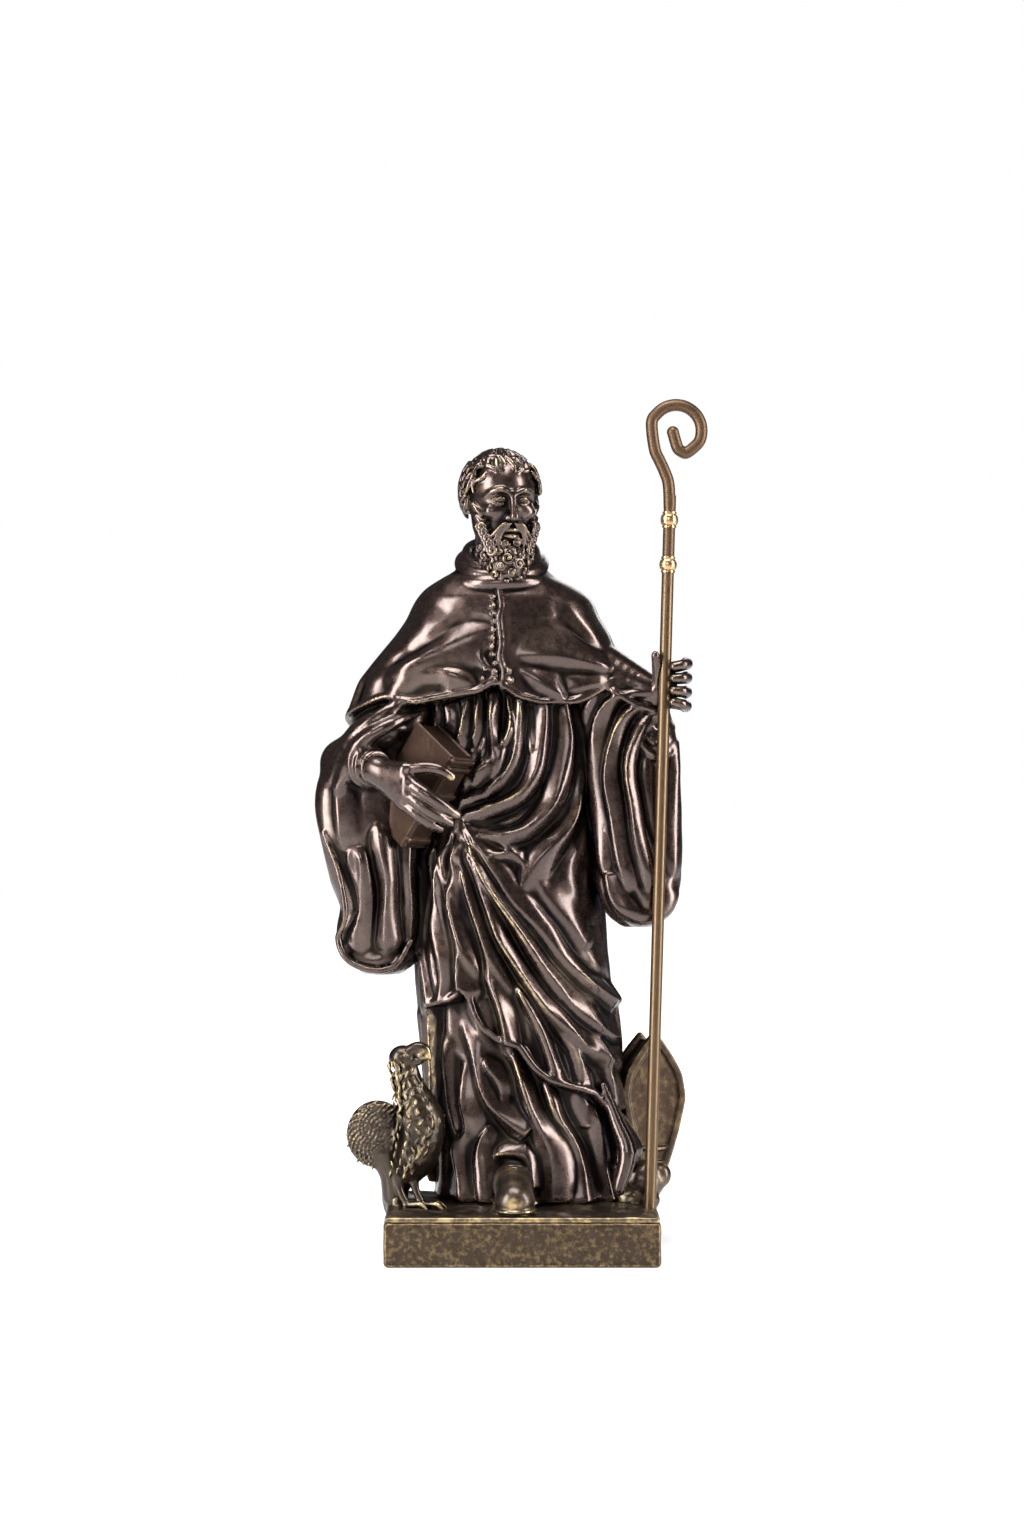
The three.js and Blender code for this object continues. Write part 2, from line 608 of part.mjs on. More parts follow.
// The crook's line above the upper knop: a swan neck, a round curl and a small hooked tip
function crookLine() {
  const start = STAFF_LENGTH + KNOP_HEIGHT / 2;
  const middle = [CROOK_RADIUS / 6, STAFF_LENGTH + CROOK_NECK + 1.6];
  const place = (centre, radius, degrees) => [
    centre[0] + radius * Math.cos(radians(degrees)),
    centre[1] + radius * Math.sin(radians(degrees)),
  ];
  const curlStart = place(middle, CROOK_RADIUS, 190);
  const neck = new THREE.CubicBezierCurve(
    new THREE.Vector2(0, start + CROOK_NECK * 0.12),
    new THREE.Vector2(0, start + CROOK_NECK * 0.5),
    new THREE.Vector2(curlStart[0] + CROOK_RADIUS * 0.2, curlStart[1] - CROOK_NECK * 0.33),
    new THREE.Vector2(...curlStart),
  );
  const points = [[0, start]];
  for (const { x, y } of neck.getPoints(5)) points.push([x, y]);
  for (let degrees = 165; degrees >= -50; degrees -= 25) points.push(place(middle, CROOK_RADIUS, degrees));
  const tip = place(middle, CROOK_RADIUS - CROOK_TIP_RADIUS, -50);
  for (let degrees = -80; degrees >= -190; degrees -= 30) points.push(place(tip, CROOK_TIP_RADIUS, degrees));
  points.push([tip[0] - CROOK_TIP_RADIUS - CROOK_RADIUS * 0.14, tip[1] + CROOK_RADIUS * 0.4]);
  return points.map(([across, up]) => onStaff(up, across));
}

// The rod up to the knops, and the bent crook above them, in one piece
function staff() {
  const sides = 8;
  const radius = STAFF_DIAMETER / 2;
  const top = STAFF_LENGTH + KNOP_HEIGHT / 2 + 1;
  const rod = new THREE.CylinderGeometry(radius, radius, top, sides).rotateX(Math.PI / 2);
  rod.rotateY(radians(STAFF_LEAN));
  const middle = onStaff(top / 2);
  rod.translate(middle.x, middle.y, middle.z);
  const section = new THREE.Shape();
  for (let i = 0; i < sides; i++) {
    const turn = ((i + 0.5) / sides) * Math.PI * 2;
    section[i ? "lineTo" : "moveTo"](radius * Math.cos(turn), radius * Math.sin(turn));
  }
  const line = new THREE.CatmullRomCurve3(crookLine(), false, "centripetal");
  const crook = new THREE.ExtrudeGeometry(section, { steps: 26, extrudePath: line, bevelEnabled: false });
  return geometryOf(solid(rod).add(solid(crook)));
}

// A turned bead collar round the rod, wide below its middle
function knop(up) {
  const bore = STAFF_DIAMETER / 2 + GAP;
  const wide = KNOP_DIAMETER / 2;
  const half = KNOP_HEIGHT / 2;
  const profile = [
    [bore, -half],
    [bore + 0.25, -half],
    [mix(bore, wide, 0.62), -half * 0.5],
    [wide, 0],
    [mix(bore, wide, 0.75), half * 0.45],
    [bore + 0.3, half],
    [bore, half],
    [bore, -half],
  ].map(([radius, height]) => new THREE.Vector2(radius, height));
  const middle = onStaff(up);
  return new THREE.LatheGeometry(profile, 12)
    .rotateX(Math.PI / 2)
    .rotateY(radians(STAFF_LEAN))
    .translate(middle.x, middle.y, middle.z);
}

const bronze = new THREE.MeshStandardMaterial({ color: 0x3b2f2a, metalness: 1, roughness: 0.32 });
const plinthBronze = new THREE.MeshStandardMaterial({ color: 0x5c4f33, metalness: 1, roughness: 0.45 });
const agedBrass = new THREE.MeshStandardMaterial({ color: 0x7d6642, metalness: 1, roughness: 0.38 });
const brightBrass = new THREE.MeshStandardMaterial({ color: 0xc9a35c, metalness: 1, roughness: 0.18 });

const statue = new THREE.Group();
const pieces = [
  ["plinth", plinth(), plinthBronze],
  ["cast_statue", casting(), bronze],
  ["crosier_staff", staff(), agedBrass],
  ["crosier_knop_lower", knop(STAFF_LENGTH - KNOP_SPACING), brightBrass],
  ["crosier_knop_upper", knop(STAFF_LENGTH), brightBrass],
];
for (const [name, geometry, material] of pieces) {
  const mesh = new THREE.Mesh(geometry, material);
  mesh.name = name;
  statue.add(mesh);
}

export default statue;
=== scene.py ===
import math

import bmesh
import bpy
import numpy as np
from mathutils import Matrix, Vector


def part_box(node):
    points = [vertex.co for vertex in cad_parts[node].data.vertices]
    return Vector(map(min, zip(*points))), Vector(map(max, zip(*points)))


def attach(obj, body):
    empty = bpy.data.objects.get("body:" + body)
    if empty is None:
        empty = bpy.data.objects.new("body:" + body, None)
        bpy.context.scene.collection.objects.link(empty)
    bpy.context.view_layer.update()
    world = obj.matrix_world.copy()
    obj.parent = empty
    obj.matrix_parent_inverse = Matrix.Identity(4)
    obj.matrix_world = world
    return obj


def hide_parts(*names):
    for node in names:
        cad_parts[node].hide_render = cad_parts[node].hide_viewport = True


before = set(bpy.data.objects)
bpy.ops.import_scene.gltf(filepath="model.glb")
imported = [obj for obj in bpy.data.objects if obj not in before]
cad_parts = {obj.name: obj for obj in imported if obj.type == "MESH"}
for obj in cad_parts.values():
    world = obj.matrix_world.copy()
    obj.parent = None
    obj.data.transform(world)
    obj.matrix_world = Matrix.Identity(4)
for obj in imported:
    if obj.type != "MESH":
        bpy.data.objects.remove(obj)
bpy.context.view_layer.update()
bpy.ops.object.select_all(action="DESELECT")

MM = 0.001


def node_box(node):
    low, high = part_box(node)
    return np.array(low) / MM, np.array(high) / MM


PLINTH_LOW, PLINTH_HIGH = node_box("plinth")
PLINTH_TOP = PLINTH_HIGH[2]
STAFF_BOTTOM = node_box("crosier_staff")[0][2]
# The staff's middle line: its x at its foot, the height of that foot, and its lean to the right
STAFF_X = 42.2
STAFF_FOOT_HEIGHT = 16.4
STAFF_LEAN = math.radians(1.62)

# The turn in degrees after which scales and locks never line up in rows
GOLDEN_TURN = 137.508

# Grid steps of the clay in mm, finer where the detail is finer
ROBE_GRAIN = 0.62
GROUND_GRAIN = 0.5
RAVEN_GRAIN = 0.38
HAND_GRAIN = 0.33
MITRE_GRAIN = 0.3
HEAD_GRAIN = 0.29
# The most triangles of each piece made from clay
MOST_FACES = {
    "monk_robes": 196000, "monk_head": 150000, "hand_on_book": 42000, "hand_on_staff": 30000,
    "raven": 110000, "mitre": 40000, "ground_and_shoe": 90000,
}


# Modelling clay


def smooth_min(a, b, blend):
    if blend <= 0:
        return np.minimum(a, b)
    near = np.maximum(blend - np.abs(a - b), 0) / blend
    return np.minimum(a, b) - near * near * blend * 0.25


def smooth_max(a, b, blend):
    return -smooth_min(-a, -b, blend)


def smooth_line(points, steps=5):
    """Points along a smooth line through the given ones, any number of values each."""
    given = np.array(points, float)
    if len(given) < 3:
        share = np.linspace(0, 1, steps + 1)[:, None]
        return given[0] * (1 - share) + given[-1] * share
    padded = np.vstack([2 * given[0] - given[1], given, 2 * given[-1] - given[-2]])
    out = []
    for i in range(len(given) - 1):
        p0, p1, p2, p3 = padded[i:i + 4]
        for t in np.linspace(0, 1, steps, endpoint=False):
            bend = (2 * p0 - 5 * p1 + 4 * p2 - p3) * t * t + (3 * p1 - p0 - 3 * p2 + p3) * t ** 3
            out.append(0.5 * (2 * p1 + (p2 - p0) * t + bend))
    out.append(given[-1])
    return np.array(out)


def spread(values, count):
    """count values that follow the given ones evenly."""
    return np.interp(np.linspace(0, 1, count), np.linspace(0, 1, len(values)), values)


class Clay:
    """A block of space that holds, at each point of a grid, the distance to the surface."""

    FAR = 6.0

    def __init__(self, low, high, step):
        self.step = step
        self.low = np.array(low, float)
        self.axes = [np.arange(a, b + step, step, dtype=np.float32) for a, b in zip(low, high)]
        self.dist = np.full([len(axis) for axis in self.axes], self.FAR, np.float32)

    def window(self, low, high):
        """The part of the grid between two corners, and its coordinates."""
        cuts = []
        grids = []
        for k, axis in enumerate(self.axes):
            start = int(np.clip((low[k] - axis[0]) / self.step, 0, len(axis) - 1))
            stop = int(np.clip((high[k] - axis[0]) / self.step + 2, start + 1, len(axis)))
            cuts.append(slice(start, stop))
            shape = [1, 1, 1]
            shape[k] = stop - start
            grids.append(axis[start:stop].reshape(shape))
        return tuple(cuts), grids

    def put(self, cuts, shape, blend, cut=False):
        """Joins a shape to the clay, or cuts it out, with a soft seam as wide as blend."""
        if cut:
            self.dist[cuts] = smooth_max(self.dist[cuts], -shape, blend)
        else:
            self.dist[cuts] = smooth_min(self.dist[cuts], shape, blend)

    def egg(self, middle, radii, blend, cut=False):
        """A rounded lump with those half widths."""
        radii = np.array(radii, float)
        middle = np.array(middle, float)
        reach = radii + blend + 1.5
        cuts, (x, y, z) = self.window(middle - reach, middle + reach)
        u, v, w = (x - middle[0]) / radii[0], (y - middle[1]) / radii[1], (z - middle[2]) / radii[2]
        near = np.sqrt(u * u + v * v + w * w)
        slope = np.sqrt((u / radii[0]) ** 2 + (v / radii[1]) ** 2 + (w / radii[2]) ** 2)
        self.put(cuts, near * (near - 1) / np.maximum(slope, 1e-4), blend, cut)

    def stroke(self, points, radii, blend, cut=False, steps=4, flat=(1, 1, 1)):
        """A round limb along a smooth line; flat squeezes space along x, y and z."""
        line = smooth_line(points, steps)
        sizes = spread(radii, len(line))
        reach = sizes.max() * max(1 / f for f in flat) + blend + 1.2
        cuts, (x, y, z) = self.window(line.min(0) - reach, line.max(0) + reach)
        shape = np.full([x.size, y.size, z.size], self.FAR, np.float32)
        first = [c.start for c in cuts]
        for a, b, ra, rb in zip(line[:-1], line[1:], sizes[:-1], sizes[1:]):
            part, (px, py, pz) = self.window(np.minimum(a, b) - reach, np.maximum(a, b) + reach)
            own = tuple(slice(p.start - f, p.stop - f) for p, f in zip(part, first))
            way = (b - a) * flat
            far = float(way @ way) + 1e-9
            dx, dy, dz = (px - a[0]) * flat[0], (py - a[1]) * flat[1], (pz - a[2]) * flat[2]
            along = np.clip((dx * way[0] + dy * way[1] + dz * way[2]) / far, 0, 1)
            off = (dx - along * way[0], dy - along * way[1], dz - along * way[2])
            apart = np.sqrt(off[0] ** 2 + off[1] ** 2 + off[2] ** 2)
            shape[own] = np.minimum(shape[own], apart - (ra + (rb - ra) * along))
        self.put(cuts, shape, blend, cut)

    def slab(self, low, high, round_edge):
        """A block with rounded edges, between two corners."""
        low, high = np.array(low, float), np.array(high, float)
        cuts, grids = self.window(low - 3, high + 3)
        over = [np.abs(g - (a + b) / 2) - (b - a) / 2 + round_edge for g, a, b in zip(grids, low, high)]
        outside = np.sqrt(sum(np.maximum(o, 0) ** 2 for o in over))
        inside = np.minimum(np.maximum(np.maximum(over[0], over[1]), over[2]), 0)
        self.put(cuts, outside + inside - round_edge, 0.5)

    def prism(self, outline, near, far, inset=0.0, blend=0.5, cut=False):
        """A plate with that outline in x and y, between two heights; the outline bulges everywhere."""
        cuts, (x, y, z) = self.window([-99, -99, near - 3], [99, 99, far + 3])
        shape = np.maximum(near - z, z - far) + 0 * x + 0 * y
        for (ax, ay), (bx, by) in zip(outline, outline[1:] + outline[:1]):
            length = math.hypot(bx - ax, by - ay)
            wall = ((x - ax) * (by - ay) - (y - ay) * (bx - ax)) / length + inset
            shape = smooth_max(shape, wall + 0 * z, 0.7)
        self.put(cuts, shape, blend, cut)

    def averaged(self, radius):
        """The mean distance in a box of that radius: above 0 on crests, below 0 in hollows."""
        out = np.clip(self.dist, -3, 3).astype(np.float64)
        reach = max(1, int(round(radius / self.step)))
        for axis in range(3):
            edge = [(0, 0)] * 3
            edge[axis] = (reach + 1, reach)
            run = np.cumsum(np.pad(out, edge, mode="edge"), axis=axis)
            count = out.shape[axis]
            upper = np.take(run, np.arange(2 * reach + 1, 2 * reach + 1 + count), axis=axis)
            lower = np.take(run, np.arange(0, count), axis=axis)
            out = (upper - lower) / (2 * reach + 1)
        return out.astype(np.float32)

    def sample(self, field, places):
        """The values of a field of the grid at any places."""
        spot = (places - self.low) / self.step
        base = np.clip(np.floor(spot).astype(int), 0, np.array(field.shape) - 2)
        share = np.clip(spot - base, 0, 1)
        total = np.zeros(len(places))
        for corner in range(8):
            bits = np.array([corner & 1, corner >> 1 & 1, corner >> 2 & 1])
            weight = np.prod(np.where(bits, share, 1 - share), axis=1)
            index = base + bits
            total += weight * field[index[:, 0], index[:, 1], index[:, 2]]
        return total

    def surface(self):
        """Corners and four-sided faces of the surface where the distance is nothing."""
        dist = self.dist
        inside = dist < 0
        size = np.array(dist.shape)
        corners = np.zeros(size - 1, np.uint8)
        for i in (0, 1):
            for j in (0, 1):
                for k in (0, 1):
                    corners += inside[i:size[0] - 1 + i, j:size[1] - 1 + j, k:size[2] - 1 + k]
        active = (corners > 0) & (corners < 8)
        number = np.full(size - 1, -1, np.int64)
        number[active] = np.arange(active.sum())
        total = np.zeros((active.sum(), 3))
        hits = np.zeros(active.sum())
        faces = []
        for axis in range(3):
            first = [slice(None)] * 3
            second = [slice(None)] * 3
            first[axis] = slice(0, -1)
            second[axis] = slice(1, None)
            first, second = tuple(first), tuple(second)
            spot = np.argwhere(inside[first] != inside[second])
            a = dist[first][tuple(spot.T)]
            b = dist[second][tuple(spot.T)]
            point = spot.astype(float)
            point[:, axis] += a / (a - b)
            u, v = (axis + 1) % 3, (axis + 2) % 3
            ids = []
            for du, dv in ((0, 0), (-1, 0), (-1, -1), (0, -1)):
                cell = spot.copy()
                cell[:, u] += du
                cell[:, v] += dv
                cell = np.clip(cell, 0, size - 2)
                ids.append(number[tuple(cell.T)])
            for cell_id in ids:
                for k in range(3):
                    total[:, k] += np.bincount(cell_id, point[:, k], len(total))
                hits += np.bincount(cell_id, minlength=len(total))
            quad = np.stack(ids, 1)
            turned = a > 0
            quad[turned] = quad[turned][:, ::-1]
            faces.append(quad)
        return total / hits[:, None] * self.step + self.low, np.vstack(faces)


# Crests stand out from the mean of this many mm round them, hollows lie below a wider one
CREST_REACH, HOLLOW_REACH, HOLLOW_DEPTH = 0.8, 2.6, 0.55


def cast(clay, name, place=Matrix.Identity(4), worn=(), sharp=0.30):
    """Turns clay into a finished mesh, thinned to its most triangles, with its wear and its hollows marked.

    worn lists places and reaches in mm that many hands have rubbed bright, and sharp is how far
    a crest stands out in mm where it is rubbed bare."""
    corners, quads = clay.surface()
    mesh = bpy.data.meshes.new(name)
    mesh.vertices.add(len(corners))
    mesh.vertices.foreach_set("co", corners.ravel())
    mesh.loops.add(quads.size)
    mesh.loops.foreach_set("vertex_index", quads.ravel().astype(np.int32))
    mesh.polygons.add(len(quads))
    mesh.polygons.foreach_set("loop_start", np.arange(0, quads.size, 4, dtype=np.int32))
    mesh.update()
    mesh.validate()
    piece = add(name, mesh)
    choose(piece)
    if len(quads) * 2 > MOST_FACES[name]:
        thin = piece.modifiers.new("thin", "DECIMATE")
        thin.ratio = MOST_FACES[name] / (len(quads) * 2)
        bpy.ops.object.modifier_apply(modifier="thin")
    mesh = piece.data
    places = rows_of(mesh.vertices, "co")
    fine = clay.sample(clay.averaged(CREST_REACH), places)
    broad = clay.sample(clay.averaged(HOLLOW_REACH), places)
    rubbed = np.clip(fine / sharp, 0, 1)
    for spot, reach in worn:
        apart = np.linalg.norm(places - np.array(spot), axis=1)
        rubbed = np.maximum(rubbed, np.clip(1.5 - apart / reach, 0, 1) * 0.8)
    mark(mesh, "crest", rubbed)
    # The hollow mark darkens the finish in hollows: partly the patina gathered there, partly painted shade.
    mark(mesh, "hollow", np.clip(-broad / HOLLOW_DEPTH, 0, 1))
    mesh.transform(Matrix.Scale(MM, 4) @ place)
    mesh.shade_smooth()
    return piece


def rows_of(items, name, width=3, kind=float):
    """The values of that name of a mesh's vertices or edges, a row for each."""
    values = np.empty(len(items) * width, kind)
    items.foreach_get(name, values)
    return values.reshape(-1, width)


def mark(mesh, name, values):
    """Stores a value for each vertex, which the finishes read by its name."""
    layer = mesh.attributes.new(name, "FLOAT", "POINT")
    layer.data.foreach_set("value", values.astype(np.float32))


def add(name, data):
    """Puts an object with that mesh, curve, light or camera in the scene."""
    thing = bpy.data.objects.new(name, data)
    bpy.context.collection.objects.link(thing)
    return thing


def choose(piece):
    bpy.ops.object.select_all(action="DESELECT")
    piece.select_set(True)
    bpy.context.view_layer.objects.active = piece


# Cloth

# How far a fold's flanks reach beyond its drawn half width, and how round its crest is.
FLANK = 1.75
CREST = 0.16


class Garment:
    """Cloth hanging as a stack of ovals, with folds raised on it.

    stations are height, middle x and y, half width and half depth. Turns are in degrees
    from the front, and grow towards the right of the front view."""

    def __init__(self, stations, low, high, ease=5.0):
        table = np.array(stations, float)
        self.z = np.arange(low, high + ROBE_GRAIN, ROBE_GRAIN)
        reach = int(ease / ROBE_GRAIN)
        kernel = np.hanning(2 * reach + 3)[1:-1]
        kernel /= kernel.sum()
        columns = []
        for k in range(1, 5):
            run = np.interp(self.z, table[:, 0], table[:, k])
            columns.append(np.convolve(np.pad(run, reach, mode="edge"), kernel, mode="valid"))
        self.cx, self.cy, self.rx, self.ry = columns
        self.turn = np.linspace(-180, 180, 721)
        radians = np.radians(self.turn)[None, :]
        self.x = self.cx[:, None] + self.rx[:, None] * np.sin(radians)
        self.front = np.cos(radians) > -0.25
        self.up = np.zeros(self.x.shape)
        self.down = np.zeros(self.x.shape)
        self.base = np.zeros(self.x.shape)

    def fold(self, points, width, height, valley=0.3, start=0.25, end=0.25, turns=False, grow=0.3):
        """One fold along a line of (x, z) in the front view, or of (turn, z) with turns.

        It is a round-backed wave that swells from its ends, gentle on one flank and steep on
        the other, with a crease at its foot."""
        line = smooth_line(points, 4)
        share = np.linspace(0, 1, len(line))
        seed = points[0][0] * 1.7 + points[0][1] * 0.9
        if not turns:
            line[:, 0] += 0.45 * np.sin(line[:, 1] * 0.23 + seed) * np.sin(share * np.pi)
        full = width * FLANK
        reach = full * 1.6
        rows = np.where((self.z > line[:, 1].min() - reach) & (self.z < line[:, 1].max() + reach))[0]
        if not len(rows):
            return
        rows = slice(rows[0], rows[-1] + 1)
        z = self.z[rows][:, None]
        x = self.x[rows] if not turns else np.radians(self.turn)[None, :] * self.rx[rows][:, None]
        if turns:
            middle = np.interp(line[:, 1], self.z, self.rx)
            line = np.stack([np.radians(line[:, 0]) * middle, line[:, 1]], 1)
        best = np.full(np.broadcast(x, z).shape, 99.0)
        at = np.zeros(best.shape)
        side = np.zeros(best.shape)
        for i in range(len(line) - 1):
            a, b = line[i], line[i + 1]
            way = b - a
            t = np.clip(((x - a[0]) * way[0] + (z - a[1]) * way[1]) / (way @ way + 1e-9), 0, 1)
            apart = np.hypot(x - a[0] - t * way[0], z - a[1] - t * way[1])
            closer = apart < best
            best = np.where(closer, apart, best)
            at = np.where(closer, share[i] + t * (share[i + 1] - share[i]), at)
            cross = way[0] * (z - a[1]) - way[1] * (x - a[0])
            side = np.where(closer, cross / (np.hypot(*way) * 1.5 + 1e-9), side)
        ends = np.clip(at / max(start, 1e-3), 0, 1) * np.clip((1 - at) / max(end, 1e-3), 0, 1)
        ends = ends * (2 - ends)
        if not turns:
            ends = ends * self.front
        half = full * (0.5 + 0.5 * ends) * (1 - grow / 2 + grow * at) * (1 + 0.3 * np.clip(side, -1, 1))
        half = half * (1 + 0.22 * np.sin(at * 6.5 + seed * 1.3))
        t = best / half
        ends = ends * (0.86 + 0.2 * np.sin(at * 5.1 + seed))
        slope = (np.sqrt(t * t + CREST * CREST) - CREST) / (math.sqrt(1 + CREST * CREST) - CREST)
        crest = height * ends * np.maximum(1 - slope, 0) ** 1.25
        groove = valley * height * ends * np.exp(-((t - 1.0) / 0.3) ** 2)
        self.up[rows] = smooth_max(self.up[rows], crest, 0.35)
        self.down[rows] = np.maximum(self.down[rows], groove)

    def folds(self, rows, **shape):
        """Several folds of one kind: each row is a line, a half width and a height."""
        for line, width, height in rows:
            self.fold(line, width, height, **shape)

    def back_folds(self, first, step, line, width, height, **shape):
        """Folds spread over the back from a first turn on; line gives the points of one from its turn."""
        for turn in range(first, 260, step):
            side = turn if turn <= 180 else turn - 360
            self.fold(line(side), width, height, turns=True, **shape)

    def flow(self, levels, count, depth, calm=None):
        """Long pleats that run up through the levels: each a height and the turns reached there."""
        heights = [level[0] for level in levels]
        tables = np.array([level[1] for level in levels], float)
        for row, z in enumerate(self.z):
            here = np.array([np.interp(z, heights, tables[:, k]) for k in range(tables.shape[1])])
            start = np.interp(self.turn, here, levels[0][1])
            phase = (start + 180) / 360 * count
            vary = 0.7 + 0.3 * np.sin(phase * 2.6 + 0.02 * z) + 0.2 * np.sin(phase * 1.1 + 2)
            wander = 0.16 * np.sin(z * 0.09 + phase * 1.7)
            wave = 0.5 - 0.5 * np.cos(2 * np.pi * (phase + wander))
            self.base[row] += depth * vary * (wave ** 1.3 - 0.4)
        if calm is not None:
            self.base *= calm(self.x, self.z[:, None], self.turn[None, :])

    def lift(self):
        """How far the folded cloth stands out from its ovals, with a slight unevenness."""
        level = self.z[:, None]
        noise = 0.08 * np.sin(self.x * 0.55 + level * 0.3) * np.sin(level * 0.22 - self.x * 0.4)
        return self.base + self.up - self.down * np.exp(-self.up / 0.7) + noise

    def lay(self, clay, hem, top, blend=0.6, edge=0.8):
        """Puts the cloth into the clay, cut off below its hem and above its top."""
        relief = self.lift()
        most = max(self.rx.max(), self.ry.max()) + 6
        low = [self.cx.min() - most, self.cy.min() - self.ry.max() - 6, self.z[0]]
        high = [self.cx.max() + most, self.cy.max() + self.ry.max() + 6, top + 2]
        cuts, (x, y, z) = clay.window(low, high)
        level = z.ravel()
        ovals = (self.cx, self.cy, self.rx, self.ry)
        cx, cy, rx, ry = (np.interp(level, self.z, values).astype(np.float32) for values in ovals)
        u = (x - cx) / rx
        v = (y - cy) / ry
        q = np.sqrt(u * u + v * v) + 1e-5
        away = (q - 1) * q / np.sqrt((u / rx) ** 2 + (v / ry) ** 2 + 1e-9)
        turn = np.degrees(np.arctan2(u, -v))
        near = np.abs(away) < 7
        spot = np.argwhere(near)
        row = np.clip(np.interp(level[spot[:, 2]], self.z, np.arange(len(self.z))), 0, len(self.z) - 1.001)
        column = np.clip((turn[near] + 180) * 2, 0, 719.999)
        r0, c0 = row.astype(int), column.astype(int)
        fr, fc = row - r0, column - c0
        value = (relief[r0, c0] * (1 - fr) + relief[r0 + 1, c0] * fr) * (1 - fc)
        value += (relief[r0, c0 + 1] * (1 - fr) + relief[r0 + 1, c0 + 1] * fr) * fc
        away[near] -= value
        away = smooth_max(away, hem(turn) - z, edge)
        away = smooth_max(away, z - top, edge)
        clay.put(cuts, np.clip(away, -Clay.FAR, Clay.FAR), blend)

    def on(self, turn, z, out=0.0):
        """The point of the bare cloth at that turn and height."""
        cx, cy, rx, ry = (np.interp(z, self.z, v) for v in (self.cx, self.cy, self.rx, self.ry))
        a = math.radians(turn)
        return [cx + (rx + out) * math.sin(a), cy - (ry + out) * math.cos(a), z]


def hem_line(marks):
    """The height of a hem at any turn, from its height at some turns."""
    turns, heights = zip(*marks)
    return lambda turn: np.interp(turn, turns, heights)


# Turns round a garment, closer together in front
ROUND = [-180, -130, -90, -62, -30, 0, 30, 55, 80, 125, 180]
COWL_HEM = hem_line([
    (-180, 26), (-120, 24), (-92, 22), (-76, 30), (-62, 82), (-40, 84), (-28, 88), (-22, 76), (-10, 70.5),
    (0, 69), (7, 62), (15, 58), (28, 55.5), (44, 53), (53, 48.5), (64, 45.5), (90, 41), (130, 30), (180, 26),
])
CAPE_HEM = hem_line([
    (-180, 172), (-110, 175), (-88, 178.5), (-66, 182), (-50, 185), (-35, 182.5), (-24, 184), (-8, 186.5),
    (-1, 190), (6, 185.5), (16, 183), (34, 183), (44, 186.5), (58, 191), (90, 191), (120, 180), (180, 172),
])


def make_tunic(clay):
    """The long tunic, seen below the cowl's hem."""
    tunic = Garment(
        [(14, 4, 10, 31.5, 19.5), (24, 3.4, 10, 29.5, 18), (38, 2.5, 10, 28.5, 16.6),
         (60, 0.5, 10, 28.5, 16.2), (95, -2, 10, 28, 16)],
        13, 96,
    )
    levels = [(15, ROUND), (55, [turn - 4 for turn in ROUND]), (95, [turn - 12 for turn in ROUND])]
    tunic.flow(levels, 15, 2.0)
    falls = [
        ([(-20.5, 78.5), (-14, 62.5), (-9, 50), (-3.5, 44), (2, 40)], 2.8, 3.0),
        ([(-3, 67.5), (1, 55), (5.5, 41.5), (9.5, 30.5), (10, 17)], 3.3, 4.2),
        ([(7, 58), (10, 47), (16, 37.5), (19, 27), (20, 17)], 2.8, 3.4),
        ([(20.5, 52), (24, 40), (27, 27), (28, 17)], 2.8, 3.4),
        ([(29.5, 44.5), (32, 38), (33, 26), (34, 17)], 2.4, 2.6),
        ([(-19.5, 64.5), (-17, 50), (-16, 43), (-19.5, 33.5), (-21, 17)], 3.2, 4.0),
        ([(-10, 44), (-13, 33), (-12.5, 17)], 2.6, 3.0),
        ([(-9, 32), (-5.5, 34), (1.5, 32.5), (3.5, 22)], 1.8, 3.0),
        ([(-27, 76), (-26.5, 50), (-29, 17)], 3.0, 3.4),
        ([(-12, 66), (-7, 56), (-6, 48)], 2.2, 2.4),
        ([(13, 60), (18, 50), (21, 42)], 2.0, 2.2),
    ]
    tunic.folds(falls, end=0.03, grow=0.7)
    tunic.lay(clay, lambda turn: 16.6 + 1.2 * np.sin(np.radians(turn) * 7.7), 93)
    flares = [
        ([[27, -3, 56], [31.5, -5, 44], [35, -7, 34], [32, -8, 22]], [1.2, 2.4, 3.2, 2.2]),
        ([[29, 0, 50], [34, -1, 42], [37.5, -2, 35], [36, -2, 29]], [1.2, 2.2, 2.8, 1.6]),
    ]
    for points, radii in flares:
        clay.stroke(points, radii, blend=2.6)


